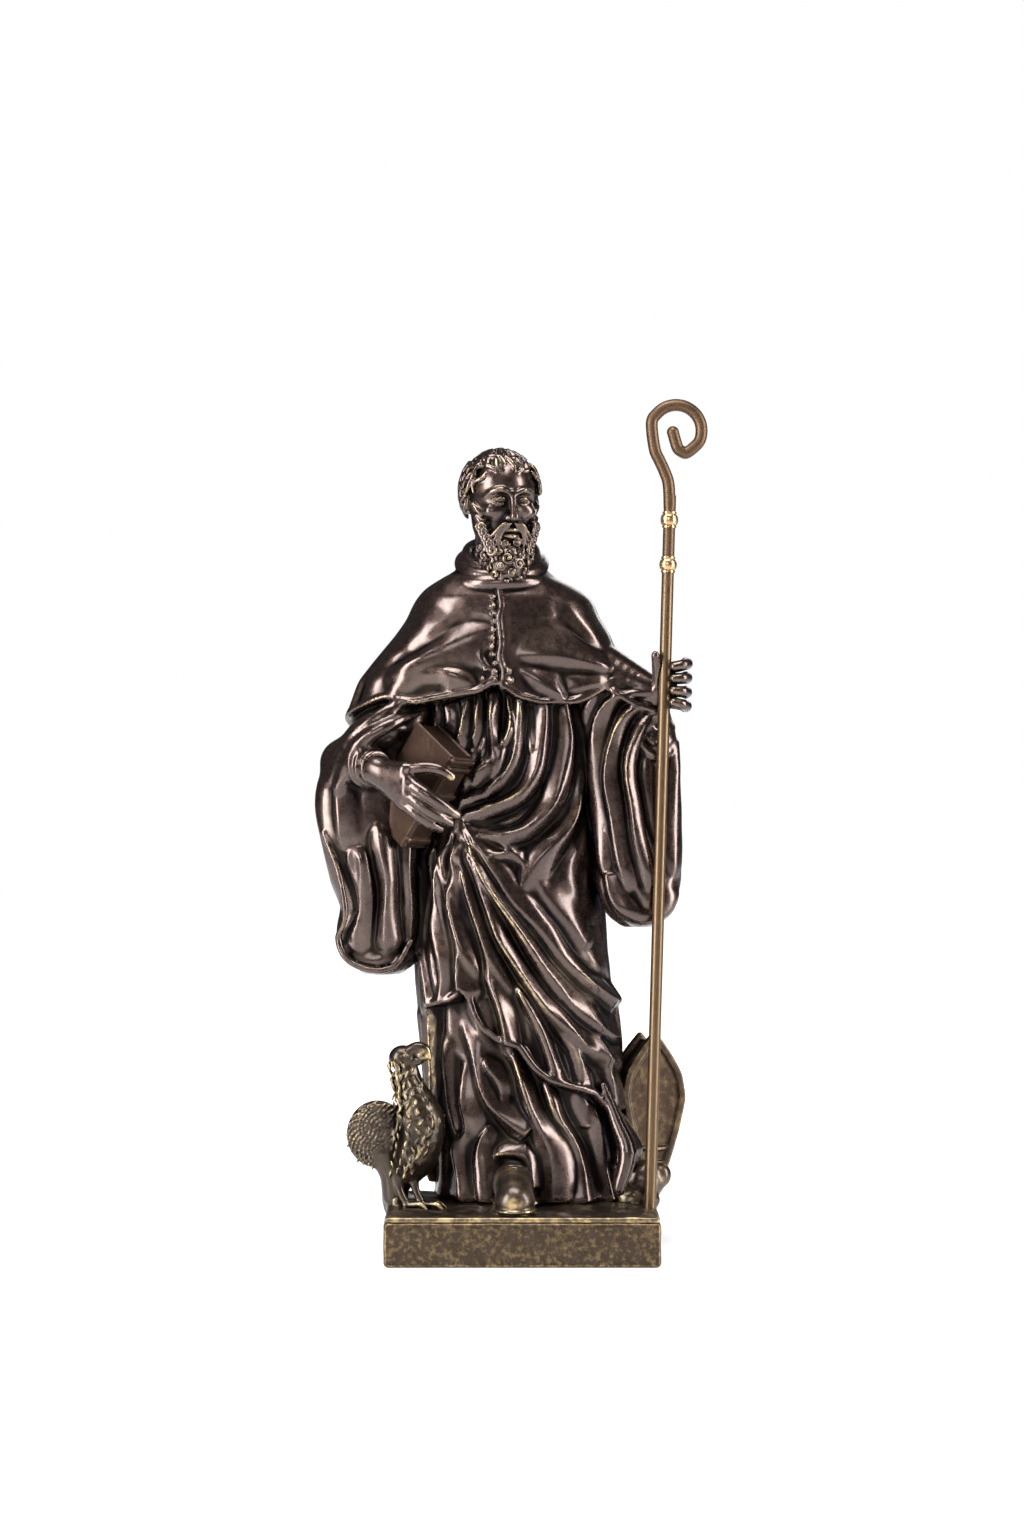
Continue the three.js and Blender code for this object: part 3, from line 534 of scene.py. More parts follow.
def make_cowl(clay):
    """The cowl: pleats under the cape, arcs swept to the hand with the book, and a fan from there."""
    cowl = Garment(
        [(20, 1, 11, 32, 20), (40, 1.5, 10, 32.6, 20.6), (60, 0, 10, 32.6, 20.6), (80, -2, 10, 32.6, 20.2),
         (100, -4, 10, 31.6, 19.6), (120, -4, 10, 30, 19), (140, -4, 10, 29, 19), (160, -4.5, 10, 28, 18.5),
         (180, -6, 9, 27, 17.5), (200, -7, 8, 24.5, 14.5)],
        19, 200,
    )
    levels = [
        (42, ROUND),
        (86, [-180, -131, -95, -66, -46, -24, 4, 32, 62, 112, 180]),
        (132, [-180, -132, -104, -74, -62, -50, -38, -22, 14, 84, 180]),
        (190, [-180, -130, -98, -58, -34, -16, 0, 16, 42, 96, 180]),
    ]

    def calm(x, z, turn):
        thigh = np.exp(-(((x - 18) / 11) ** 2 + ((z - 112) / 22) ** 2))
        hip = np.exp(-(((x + 17) / 10) ** 2 + ((z - 144) / 14) ** 2))
        return (1 - 0.85 * thigh) * (1 - 0.95 * hip) * np.where(np.abs(turn) < 75, 0.75, 1.0)

    cowl.flow(levels, 18, 1.8, calm)
    tubes = [
        ([(-32, 138), (-32.5, 115), (-31, 94), (-30, 78)], 2.5, 3.0),
        ([(-26, 139), (-27, 115), (-25.5, 98), (-25, 80)], 2.4, 3.2),
        ([(-21, 141), (-21.5, 115), (-19.5, 100), (-17.5, 84)], 2.8, 4.2),
    ]
    fan = [
        ([(-22.5, 143), (-15, 114), (-11, 98), (-7, 84), (-4, 66)], 2.2, 3.0),
        ([(-22, 145), (-11, 116), (-6, 103), (0, 92), (8, 81), (19, 70), (35, 60)], 2.4, 3.8),
        ([(-21.5, 146), (-8, 118), (1, 104), (9, 92), (19, 80), (36, 68)], 2.2, 3.0),
        ([(-21, 147), (-5, 121), (6, 107), (15, 96), (27, 86), (37, 78)], 2.4, 3.2),
        ([(-2, 90), (4, 78), (9, 66), (11, 52)], 1.9, 2.4),
        ([(9, 80), (16, 68), (21, 50)], 1.8, 2.2),
        ([(-10, 140), (2, 128), (13, 113), (22, 101)], 2.2, 1.5),
        ([(24, 70), (29, 60), (33, 46)], 1.8, 1.8),
    ]
    arcs = [
        ([(-25, 188), (-24, 174)], 1.6, 1.8),
        ([(-19.5, 188), (-19, 174), (-21, 168)], 1.6, 2.2),
        ([(-14.5, 188), (-14.5, 176), (-17, 168)], 1.2, 1.4),
        ([(-10, 188), (-9.5, 172), (-11, 163), (-21, 156)], 2.0, 2.8),
        ([(-5, 189), (-4.5, 176), (-6.5, 168)], 1.2, 1.6),
        ([(-3, 189), (-1, 176), (-4, 163), (-10, 155), (-22, 150)], 1.7, 2.6),
        ([(2, 188), (3.2, 174), (2.5, 165)], 1.2, 1.6),
        ([(5, 189), (6, 173), (3, 160), (-4, 151), (-22, 145)], 2.4, 3.8),
        ([(8.5, 188), (9.5, 176), (9, 166)], 1.2, 1.4),
        ([(11, 188), (12.5, 172), (11, 157), (6, 147), (-3, 140), (-20, 140)], 2.6, 4.0),
        ([(-2, 134), (-8, 133), (-15, 135)], 1.7, 1.8),
        ([(16, 186), (18, 170), (17.5, 155), (13, 142), (5, 131), (-1, 119)], 2.8, 3.6),
        ([(21, 184), (23, 168), (24, 156)], 1.6, 1.4),
        ([(25, 182), (27.5, 162), (28.5, 144), (29, 122)], 2.6, 2.6),
        ([(8, 139), (4.5, 132), (3, 120)], 1.5, 1.2),
    ]
    cowl.folds(tubes + fan, valley=0.35, start=0.16, end=0.08, grow=0.5)
    cowl.folds(arcs, valley=0.5, start=0.05, end=0.26)
    seam = [(8, 91.5), (18, 92.5), (29, 92)]
    cowl.fold(seam, 0.9, 0.5, valley=0.6)

    def down_the_back(turn):
        sway = 5 * math.sin(turn % 360 * 0.7)
        return [(turn, 26), (turn + sway, 90), (turn - sway, 165)]

    cowl.back_folds(106, 26, down_the_back, 4.6, 3.2, end=0.4)
    cowl.lay(clay, COWL_HEM, 190, edge=0.9)
    points = [cowl.on(turn, float(COWL_HEM(turn)) + 0.8, 1.3) for turn in range(-60, 92, 4)]
    clay.stroke(points, [1.0, 1.3, 1.1], blend=1.4, steps=2)


def make_cape(clay):
    """The shoulder cape, its edge down the front and the row of small buttons beside it."""
    cape = Garment(
        [(170, -9.8, 7, 50.4, 22.5), (181, -8.6, 7, 48.8, 22.3), (191, -7.2, 7, 46.6, 22),
         (197.7, -7, 7, 41.8, 21.5), (204.4, -7, 7, 36.4, 21), (211, -6.3, 6.5, 32.4, 20),
         (215, -6, 6.5, 31, 19), (218, -6, 6, 29.2, 18), (221.5, -6.5, 5.5, 25.8, 16),
         (225, -7.5, 5, 19.3, 14.2), (229, -7, 4, 12, 12)],
        168, 231, ease=3.0,
    )
    levels = [(178, ROUND), (229, [-180, -125, -80, -50, -20, 0, 20, 44, 66, 118, 180])]

    def calm(x, z, turn):
        low = np.clip((206 - z) / 18, 0.08, 1)
        return low * np.where(np.abs(turn) < 70, 0.4, 1.0)

    cape.flow(levels, 17, 1.9, calm)
    drapes = [
        ([(-8, 208), (-18, 204), (-30, 198), (-47, 189.5)], 4.6, 3.0),
        ([(-14, 188), (-24, 193), (-35, 192), (-46, 186)], 3.4, 2.4),
        ([(-12, 201), (-20, 196), (-29, 192)], 2.4, 1.2),
        ([(-9, 193), (-13.5, 197), (-13, 201), (-9, 203.5)], 1.7, 1.8),
        ([(-3, 199), (10, 199), (22, 196), (37, 192)], 4.2, 3.0),
        ([(-1, 194.5), (6, 189.5), (9, 187), (14, 183)], 2.8, 2.4),
        ([(12, 186.5), (24, 190), (36, 191)], 2.8, 1.6),
        ([(13, 219), (21, 207), (30, 199)], 5.0, 1.6),
        ([(-27, 217), (-33, 207), (-41, 199)], 5.0, 1.2),
    ]
    cape.folds(drapes, start=0.35, end=0.3)
    cape.back_folds(110, 24, lambda turn: [(turn, 174), (turn * 0.98, 196), (turn * 0.97, 212)], 2.6, 1.8)
    cape.lay(clay, CAPE_HEM, 229, edge=0.9)
    points = [cape.on(turn, float(CAPE_HEM(turn)) + 0.5, 0.5) for turn in range(-178, 180, 5)]
    clay.stroke(points + points[:1], [0.9, 0.9], blend=1.0, steps=2)
    edge = []
    for k, z in enumerate((219.5, 215, 211, 206.5, 202, 198, 194, 190.5, 188)):
        edge.append(cape.on(-2.6 + 0.55 * k + 0.8 * math.sin(k * 2.2), z, 0.15))
    clay.stroke(edge, [0.9, 0.9], blend=0.8)
    clay.stroke([[x - 1.5, y - 0.2, z] for x, y, z in edge], [0.5, 0.5], blend=0.5, cut=True)
    buttons = 11
    for k in range(buttons):
        share = k / (buttons - 1)
        place = cape.on(-6.3 + 4.4 * share + 0.4 * math.sin(5 * k), 218 - 27.5 * share, 0.7)
        clay.egg(place, (0.85, 0.85, 0.85), blend=0.35)
    for turn, z in ((-6.5, 194), (-7, 191), (3.5, 193.5), (4, 190.5)):
        clay.egg(cape.on(turn, z, 0.7), (0.8, 0.8, 0.8), blend=0.25)


def make_hood(clay):
    """The collar stands round the neck, low in front, and the hood lies on the back."""
    def ring(radius, middle, tilt, thick):
        points = []
        for turn in range(0, 361, 15):
            a = math.radians(turn)
            rise = middle - tilt * math.cos(a) + 0.35 * math.sin(3 * a + 1)
            points.append([-6.8 + radius * math.sin(a), 3.6 - radius * 0.95 * math.cos(a), rise])
        clay.stroke(points, [thick, thick], blend=0.5, steps=2)

    clay.stroke([[-7, 3, 214], [-7, 3, 229]], [12.5, 10.5], blend=1.5, steps=2)
    ring(14.7, 224.8, 2.4, 2.5)
    ring(13.2, 229.8, 5.2, 2.6)
    ring(11.6, 233.0, 5.6, 1.8)
    clay.egg((-7, 20, 211), (14.5, 8.5, 14), blend=3)
    for side in (-1, 1):
        line = [[-7 + side * 11, 12, 226], [-7 + side * 12, 22, 216], [-7 + side * 4, 27.5, 203]]
        clay.stroke(line, [1.6, 1.7, 1.2], blend=1.6)
    clay.stroke([[-7, 24, 223], [-7, 28.5, 212], [-7, 27, 199]], [1.2, 1.5, 1.0], blend=1.6)


def make_left_sleeve(clay):
    """The wide sleeve on the left of the front view, with its open mouth and turned edge."""
    sleeve = Garment(
        [(92.5, -46.5, 5, 6, 5), (94.5, -46.8, 5, 9.5, 7.5), (98, -47, 5, 12.5, 9.5),
         (108, -47, 5, 13.6, 10), (118, -46.5, 5, 13.4, 10.5), (130, -49.5, 4, 15.2, 11.5),
         (140, -51.5, 4, 16, 12.5), (152, -51.7, 4, 16, 12.5), (160, -50.5, 4, 15.4, 12.5),
         (170, -46, 5, 13.3, 12), (180, -41, 6, 12.8, 11), (188, -36, 7, 8, 7)],
        91, 190, ease=3.5,
    )
    drapes = [
        ([(-37, 183), (-50, 178), (-60, 168), (-65.5, 156), (-66, 143), (-62, 128), (-58, 112)], 2.9, 3.0),
        ([(-38, 176), (-50, 171), (-58, 161), (-60.5, 148), (-58, 132)], 2.3, 2.4),
        ([(-57, 136), (-53, 122), (-53.5, 110), (-58, 99)], 2.7, 3.2),
        ([(-62, 126), (-63, 114), (-60, 103)], 2.2, 2.2),
        ([(-62, 104), (-55, 97.5), (-46, 95), (-38, 98)], 2.6, 2.2),
        ([(-47.5, 144), (-45.5, 124), (-45, 99)], 3.0, 3.6),
        ([(-40, 146), (-38.5, 124), (-38, 101)], 2.2, 2.4),
    ]
    sleeve.folds(drapes, valley=0.5, start=0.15, end=0.12)
    sleeve.back_folds(96, 22, lambda turn: [(turn, 98), (turn + 6, 130), (turn - 4, 172)], 2.0, 2.0)
    sleeve.lay(clay, lambda turn: 92.5 + 0 * turn, 188, edge=1.5)
    edge = [
        [-66, -4, 140], [-60.5, -7, 126], [-58.5, -7, 112], [-61, -4, 105], [-58, -5, 98], [-50, -6, 94.5],
        [-42, -5.5, 96], [-37, -4, 104],
    ]
    clay.stroke(edge, [0.8, 1.1, 1.2, 1.1, 0.9], blend=0.9)
    inner = [[x + 2.6, y - 0.6, z + 1.2] for x, y, z in edge[1:5]]
    clay.stroke(inner, [0.8, 1.2, 0.8], blend=0.8, cut=True)
    mouth = [[-55, -12, 151], [-58, -12, 140], [-56.5, -10, 127], [-54, -8, 112]]
    clay.stroke(mouth, [2.6, 4.0, 3.2, 1.4], blend=1.5, cut=True)


def make_forearm(clay):
    """The forearm that reaches to the book, its tight cuff in three rings, and rolls of cloth over it."""
    cuff_start, cuff_end = np.array([-51, -10.5, 162.3]), np.array([-48, -15, 161.4])
    clay.stroke([[-59, 3, 163], [-54, -6, 162.5], cuff_start], [8.5, 7.2, 6.6], blend=2)
    for share, size in ((0, 6.8), (0.5, 6.0), (1, 5.2)):
        middle = cuff_start * (1 - share) + cuff_end * share
        points = []
        for turn in range(0, 361, 30):
            a = math.radians(turn)
            points.append(middle + size * np.array([0.83 * math.cos(a), 0.55 * math.cos(a), math.sin(a)]))
        clay.stroke(points, [0.95, 0.95], blend=0.5, steps=2)
    rolls = [
        [[-31, -4, 187], [-44, -10.5, 180.5], [-56, -9.5, 171], [-63, -4, 157]],
        [[-33, -5, 180], [-43, -13.5, 176], [-54, -13, 168.5], [-60.5, -8, 155]],
    ]
    for points in rolls:
        clay.stroke(points, [0.8, 2.2, 2.6, 1.6], blend=2.2)


def make_right_sleeve(clay):
    """The sleeve that hangs from the arm with the crosier."""
    sleeve = Garment(
        [(108.5, 39, 0, 5, 4), (110.5, 39, 0, 8.5, 6.5), (114, 38.8, 0, 11.5, 8.5),
         (122, 38.6, 1, 13.8, 9.6), (134, 38.2, 2, 14.2, 10.6), (148, 37.5, 2.5, 14, 11),
         (160, 36.5, 3, 14.8, 11.5), (175, 35, 4, 15.6, 11.5), (186, 32, 4, 15.8, 10.5),
         (194, 26, 5, 14, 9.5)],
        107, 196, ease=3.5,
    )
    drapes = [
        ([(34, 189), (26, 187), (21.5, 178), (20.5, 164), (22, 148)], 2.2, 2.4),
        ([(42, 187), (31, 185), (25.5, 175), (24, 160), (26, 140), (29, 122)], 2.3, 3.0),
        ([(43, 184), (35, 180), (30, 170), (29.5, 154), (32, 136), (36, 119)], 2.3, 3.0),
        ([(44, 181), (39, 176), (35.5, 166), (36, 150), (39, 134), (43, 120)], 2.2, 3.0),
        ([(49.5, 172), (50.5, 152), (50.5, 124)], 2.2, 2.4),
        ([(29, 128), (32, 116), (39, 110.5), (47, 113), (51.5, 122)], 2.3, 2.2),
    ]
    sleeve.folds(drapes, valley=0.5, start=0.05, end=0.12)
    for i in range(3):
        low = i * 3.8
        line = [(38 - i, 182 - low), (42, 176 - low * 1.2), (47.5, 173 - low), (51, 177 - low * 0.6)]
        sleeve.fold(line, 1.5, 1.8, start=0.1)
    sleeve.back_folds(100, 24, lambda turn: [(turn, 116), (turn + 5, 145), (turn - 3, 178)], 2.0, 2.0)
    sleeve.lay(clay, lambda turn: 108.5 + 0 * turn, 194, edge=1.5)
    mouth = [[44.5, -10, 164], [46, -10.5, 146], [46, -8.5, 127]]
    clay.stroke(mouth, [1.6, 3.2, 1.6], blend=1.2, cut=True)
    arm = [[16, 5, 200], [28, 1, 193.5], [38, -2, 189], [43.5, -4, 187]]
    clay.stroke(arm, [10, 8.6, 6.4, 4.6], blend=2.5)
    roll = [[16, -12.5, 183.5], [22, -10.5, 186.5], [30, -7.5, 190.5], [38, -5.5, 191.5], [43, -4, 191]]
    clay.stroke(roll, [0.9, 1.1, 1.0], blend=1.0)
    clay.stroke([[30, -8.5, 187], [37, -8.5, 183], [45, -7, 180]], [1.1, 1.2, 1.0], blend=1.0)


# The pieces of the casting


def make_robes():
    clay = Clay([-74, -20, 12.5], [58.5, 36, 241], ROBE_GRAIN)
    make_tunic(clay)
    make_cowl(clay)
    make_left_sleeve(clay)
    make_right_sleeve(clay)
    make_cape(clay)
    make_hood(clay)
    make_forearm(clay)
    return cast(clay, "monk_robes")


def make_hand_on_book():
    """A wrist, four fingers with their tendons and nails, spread over the book."""
    clay = Clay([-56, -34, 136], [-16, -8, 172], HAND_GRAIN)
    wrist = [-47.5, -15.5, 160.6]
    knuckles = [[-38, -25, 160.8], [-37.2, -26.2, 157], [-37.4, -25.8, 153.4], [-38.5, -24, 150.4]]
    clay.stroke([[-53, -9, 162.5], wrist], [4.8, 4.2], blend=1)
    for knuckle in knuckles:
        clay.stroke([wrist, knuckle], [4.0, 2.8], blend=2.4)
    fingers = [
        [knuckles[0], [-31, -27.6, 161.6], [-26.5, -28.2, 160.8], [-23, -27.6, 158.6]],
        [knuckles[1], [-31.5, -29.4, 153.2], [-26, -28.8, 149.3], [-21.2, -26.4, 146.2]],
        [knuckles[2], [-32.5, -28.8, 149.4], [-27.5, -28, 146.0], [-23.4, -25.8, 143.6]],
        [knuckles[3], [-34, -26.8, 146.6], [-30, -25.8, 143.6], [-26.8, -24, 141.8]],
    ]
    for line in fingers:
        clay.stroke(line, [2.5, 2.15, 2.0, 1.5], blend=0.7)
        x, y, z = line[-1]
        clay.egg([x - 0.2, y - 1.1, z + 0.3], (0.85, 0.45, 0.95), blend=0.15)
    worn = [((-22, -27.5, 146), 2.0), ((-23, -28.5, 158.5), 2.0)]
    return cast(clay, "hand_on_book", worn=worn)


def make_hand_on_staff():
    """A palm behind the staff, with the thumb beside it and four fingers round it."""
    def staff_x(z):
        return STAFF_X + math.tan(STAFF_LEAN) * (z - STAFF_FOOT_HEIGHT)

    clay = Clay([36, -20, 172], [62, 6, 203], HAND_GRAIN)
    palm = staff_x(187)
    fingers = {194.6: 1.6, 190.9: 0.5, 187.1: -0.6, 183.4: -1.6}
    clay.stroke([[40, -3, 184], [palm - 2, -5, 187]], [4.4, 4.0], blend=1.5)
    clay.egg((palm, -5.4, 187.6), (4.4, 2.4, 7.2), blend=1.5)
    for z, fan in fingers.items():
        x = staff_x(z) + 2
        line = [
            [x - 1.5, -5.6, z], [x + 3.4, -6.4, z + fan * 0.5], [x + 5.2, -9.6, z + fan * 0.9],
            [x + 3.8, -12.9, z + fan * 0.6], [x + 0.9, -14.0, z + fan * 0.2],
        ]
        clay.stroke(line, [1.9, 1.9, 1.95, 1.8, 1.45], blend=0.35)
        clay.egg((x + 2.4, -10.2, z + fan * 0.5), (2.6, 3.4, 1.5), blend=0.6)
        clay.egg((x + 4.8, -10.1, z + fan * 0.85), (1.95, 1.95, 2.0), blend=0.6)
        clay.egg((x + 0.9, -14.9, z + fan * 0.2), (0.9, 0.5, 0.85), blend=0.15)
    thumb = [[44.2, -4.5, 184], [45.2, -7.5, 190], [44.6, -10.5, 195.4], [44.0, -12.0, 198.4]]
    clay.stroke(thumb, [3.0, 2.3, 1.8, 1.4], blend=1.0)
    clay.egg((43.9, -12.6, 198.6), (1.25, 1.1, 1.5), blend=0.4)
    clay.stroke([[staff_x(172), -10, 172], [staff_x(203), -10, 203]], [2.25, 2.25], blend=0.1, cut=True)
    return cast(clay, "hand_on_staff", worn=[((51, -13, z), 3.0) for z in fingers])


HEAD_TURN = Matrix.Rotation(math.radians(17), 4, "Z") @ Matrix.Rotation(math.radians(5), 4, "X")
HEAD_PLACE = Matrix.Translation((-6.6, -1.5, 250)) @ HEAD_TURN
RIGHT, BACK, UP = np.eye(3)


def on_egg(middle, radii, turn, rise, out):
    """The point at that turn and rise on an egg, a little outside it."""
    a, b = math.radians(turn), math.radians(rise)
    way = np.array([math.sin(a) * math.cos(b), -math.cos(a) * math.cos(b), math.sin(b)])
    return np.array(middle) + (np.array(radii) + out) * way


def frame_on(middle, radii, turn, rise, out):
    """Place on an egg, and the sideways, upward and outward directions there."""
    place = on_egg(middle, radii, turn, rise, out)
    side = on_egg(middle, radii, turn + 2, rise, out) - place
    up = on_egg(middle, radii, turn, rise + 2, out) - place
    side /= np.linalg.norm(side)
    up /= np.linalg.norm(up)
    return place, side, up, np.cross(side, up)


def in_turn(i):
    """-1 and 1 by turns."""
    return 1 if i % 2 else -1


def sided(line, side):
    """The line as it is for the figure's left, mirrored for the right."""
    return [(side * x, y, z) for x, y, z in line]


def make_face(clay):
    """A calm, plain face: eyes at half the height of the head, nose and mouth by thirds."""
    clay.egg((0, -3.4, -1), (9.2, 8.9, 14), blend=2)
    clay.egg((0, -3.6, -9), (7.8, 7.8, 7), blend=2)
    clay.egg((0, 3, -14), (8, 8, 16), blend=2)
    for side in (-1, 1):
        clay.egg((side * 3.9, -13.0, 0.7), (3.0, 2.2, 2.2), blend=1.8, cut=True)
    for side in (-1, 1):
        eye_x = side * 3.9
        clay.egg((eye_x, -9.6, 0.5), (2.2, 1.9, 1.9), blend=0.2)
        brow = [(1.2, -12.4, 3.1), (3.9, -12.1, 4.2), (6.6, -10.1, 3.4), (8, -8, 1.8)]
        clay.stroke(sided(brow, side), [0.7, 1.0, 0.9, 0.6], blend=1.3)
        upper = []
        lower = []
        for t in (-1, -0.5, 0, 0.5, 1):
            x = eye_x + 2.1 * t
            depth = -11.75 + 0.75 * t * t + 0.10 * side * t
            upper.append([x, depth, 0.35 + 1.15 * (1 - t * t)])
            lower.append([x, depth + 0.1, 0.25 - 0.95 * (1 - t * t)])
        clay.stroke(upper, [0.28, 0.42, 0.28], blend=0.45)
        clay.stroke(lower, [0.24, 0.34, 0.24], blend=0.5)
        clay.egg((eye_x, -11.75, 0.35), (0.42, 0.4, 0.42), blend=0.12, cut=True)
        clay.egg((side * 5.9, -8.7, -3.0), (2.9, 2.5, 2.3), blend=2.0)
        clay.egg((side * 1.75, -12.9, -5.1), (1.2, 1.5, 1.05), blend=0.7)
        clay.egg((side * 0.95, -14.3, -6.1), (0.5, 0.7, 0.4), blend=0.2, cut=True)
        clay.egg((side * 11.4, 1.8, -0.6), (1.3, 2.5, 3.9), blend=0.6)
        ear = [(11.6, 0.2, -3.6), (12.6, 3.6, -1.4), (12.8, 4.0, 1.6), (12.3, 1.6, 3.4), (11.7, -0.4, 1.6)]
        clay.stroke(sided(ear, side), [0.6, 0.7, 0.75, 0.7, 0.5], blend=0.4)
        clay.egg((side * 12.6, 1.6, 0.2), (0.8, 1.2, 1.9), blend=0.4, cut=True)
    nose = [[0, -11.9, 3.3], [0, -13.3, -0.8], [0, -14.7, -4.4]]
    clay.stroke(nose, [1.0, 1.15, 1.5], blend=1.0)
    clay.egg((0, -14.4, -4.9), (1.55, 1.5, 1.35), blend=0.6)
    clay.stroke([[-2.7, -11.9, -9.4], [0, -13.0, -8.9], [2.7, -11.9, -9.4]], [0.5, 0.75, 0.5], blend=0.4)
    clay.stroke([[-2.3, -11.9, -10.9], [0, -12.8, -11.1], [2.3, -11.9, -10.9]], [0.5, 0.85, 0.5], blend=0.4)
    parting = [[-2.9, -12.2, -10.1], [0, -13.3, -9.9], [2.9, -12.2, -10.1]]
    clay.stroke(parting, [0.25, 0.3, 0.25], blend=0.15, cut=True)


CURL_TURNS, CURL_POINTS = 1.2, 9


def curl(clay, centre, directions, size, thick, way, lift):
    """A small coil of hair that lies on the surface and rises a little in its middle."""
    across, upward, out = directions
    points = []
    for i in range(CURL_POINTS):
        share = i / (CURL_POINTS - 1)
        a = way * share * CURL_TURNS * 2 * math.pi
        r = size * (1 - 0.8 * share)
        flat = across * (r * math.cos(a)) + upward * (r * math.sin(a))
        points.append(centre + flat + out * (lift * share))
    clay.stroke(points, [thick * 0.8, thick, thick * 0.9], blend=0.15, steps=2)


def make_beard(clay):
    """A full beard: two masses set with curls, wavy locks on the cheeks, curls and a moustache."""
    mass, sizes = (0, -4.6, -15.6), (8.6, 6.9, 9.4)
    lower, reach = (0, -8.6, -21), (6.3, 5.2, 7.0)
    clay.egg(mass, sizes, blend=1.5)
    clay.egg(lower, reach, blend=2)
    for side in (-1, 1):
        jaw = [(9.8, -0.5, -1), (8.2, -4.0, -8), (6.0, -6.5, -14)]
        clay.stroke(sided(jaw, side), [1.6, 3.0, 3.4], blend=1.5)
    curls = 52
    for i in range(curls):
        rise = 30 - 114 * (i + 0.5) / curls
        turn = ((i * GOLDEN_TURN + 40) % 236) - 118
        if rise > 0 and abs(turn) < 34:
            continue
        place, *directions = frame_on(mass, sizes, turn, rise, 0.3)
        curl(clay, place, directions, 2.0 + 0.4 * math.sin(i * 1.7), 0.72, in_turn(i), 0.9)
    for side in (-1, 1):
        for k in range(8):
            rise = 1.0 - 2.0 * k
            back = np.array([side * (11.0 - 0.35 * k), 0.2 - 0.8 * k, rise])
            front = np.array([side * (9.2 - 0.45 * k), -5.6 - 0.7 * k, rise - 3.4])
            wave = np.array([side * 0.9, -0.9, 0.9 if k % 2 else -0.4])
            lock = [back, (back + front) / 2 + wave, front, front + [-side * 0.9, -0.5, 1.1]]
            clay.stroke(lock, [0.6, 0.95, 0.75, 0.4], blend=0.25)
        for k in range(5):
            place = np.array([side * (8.9 - 0.75 * k), -7.6 - 0.75 * k, -8.2 - 1.9 * k])
            out = np.array([side * 0.62, -0.78, 0])
            across = np.array([0.78 * side, 0.62, 0])
            curl(clay, place + out * 0.8, (across, UP, out), 1.9, 0.68, side, 0.8)
        for k in range(4):
            start = [side * (0.6 + 0.3 * k), -13.1 + 0.1 * k, -6.8 - 0.45 * k]
            middle = [side * (3.6 + 0.1 * k), -13.1 + 0.3 * k, -7.4 - 1.15 * k]
            tip = [side * (7.0 - 0.8 * k), -11.0, -11.4 - 1.5 * k]
            hook = [side * (7.9 - 0.6 * k), -10.3, -10.4 - 1.5 * k]
            clay.stroke([start, middle, tip, hook], [0.32, 0.56, 0.5, 0.26], blend=0.1)
    chin = [(-2.2, -13.6), (2.0, -13.2), (0, -15.6), (-3.8, -16.4), (3.7, -16.0)]
    for k, (x, z) in enumerate(chin):
        place = np.array([x, -11.9 + 0.06 * x * x, z])
        curl(clay, place, (RIGHT, UP, -BACK), 1.6, 0.62, in_turn(k), 0.8)
    for k in range(22):
        turn = ((k * GOLDEN_TURN + 15) % 190) - 95
        place, *directions = frame_on(lower, reach, turn, 56 - 5.6 * k, 0.2)
        curl(clay, place, directions, 1.75 + 0.35 * math.sin(k * 2.3), 0.66, in_turn(k), 0.8)


# One lock: how far along, to the side and up its points lie
LOCK = ((-3.4, 0, -0.5), (-1.7, 1, 0.3), (0, 0, 0.5), (1.7, -1, 0.4), (3.2, 0, 0.1), (4.0, 0.9, 0))


def make_hair(clay):
    """Short wavy locks brushed back from the forehead, fuller over the ears."""
    skull, sizes = (-0.4, 1.8, 3.4), (11.4, 13.0, 13.0)
    clay.egg(skull, sizes, blend=1.5)
    for side in (-1, 1):
        clay.egg((side * 9.9, 2.0, 5.0), (2.2, 5.0, 6.0), blend=1.5)
    locks = 200
    for i in range(locks):
        rise = math.degrees(math.asin(0.995 - 1.42 * (i + 0.5) / locks))
        turn = ((i * GOLDEN_TURN) % 360) - 180
        if abs(turn) < 56 and rise < 45 - 0.22 * abs(turn) + 4 * math.sin(i * 2.3):
            continue
        if abs(turn) < 84 and rise < 6:
            continue
        place, _, _, out = frame_on(skull, sizes, turn, rise, 0.4)
        if 60 < abs(turn) < 120 and rise < 38:
            place = place + out * 0.8
        falls = np.array([0.0, 0.55, -0.85]) if rise < 34 else np.array([0.35 * math.sin(i * 1.3), 0.9, 0.1])
        way = falls - out * float(falls @ out)
        way /= np.linalg.norm(way) + 1e-6
        across = np.cross(out, way) * (0.8 + 0.5 * math.sin(i * 2.1)) * in_turn(i)
        points = [place + way * along + across * wave + out * lift for along, wave, lift in LOCK]
        clay.stroke(points, [0.45, 0.8, 0.9, 0.8, 0.4], blend=0.22, steps=2)


def make_head():
    clay = Clay([-16, -18, -31], [16, 18, 20], HEAD_GRAIN)
    clay.egg((-0.2, 1.8, 4), (11.2, 12.8, 13), blend=1)
    make_face(clay)
    make_hair(clay)
    make_beard(clay)
    return cast(clay, "monk_head", HEAD_PLACE, sharp=0.42)


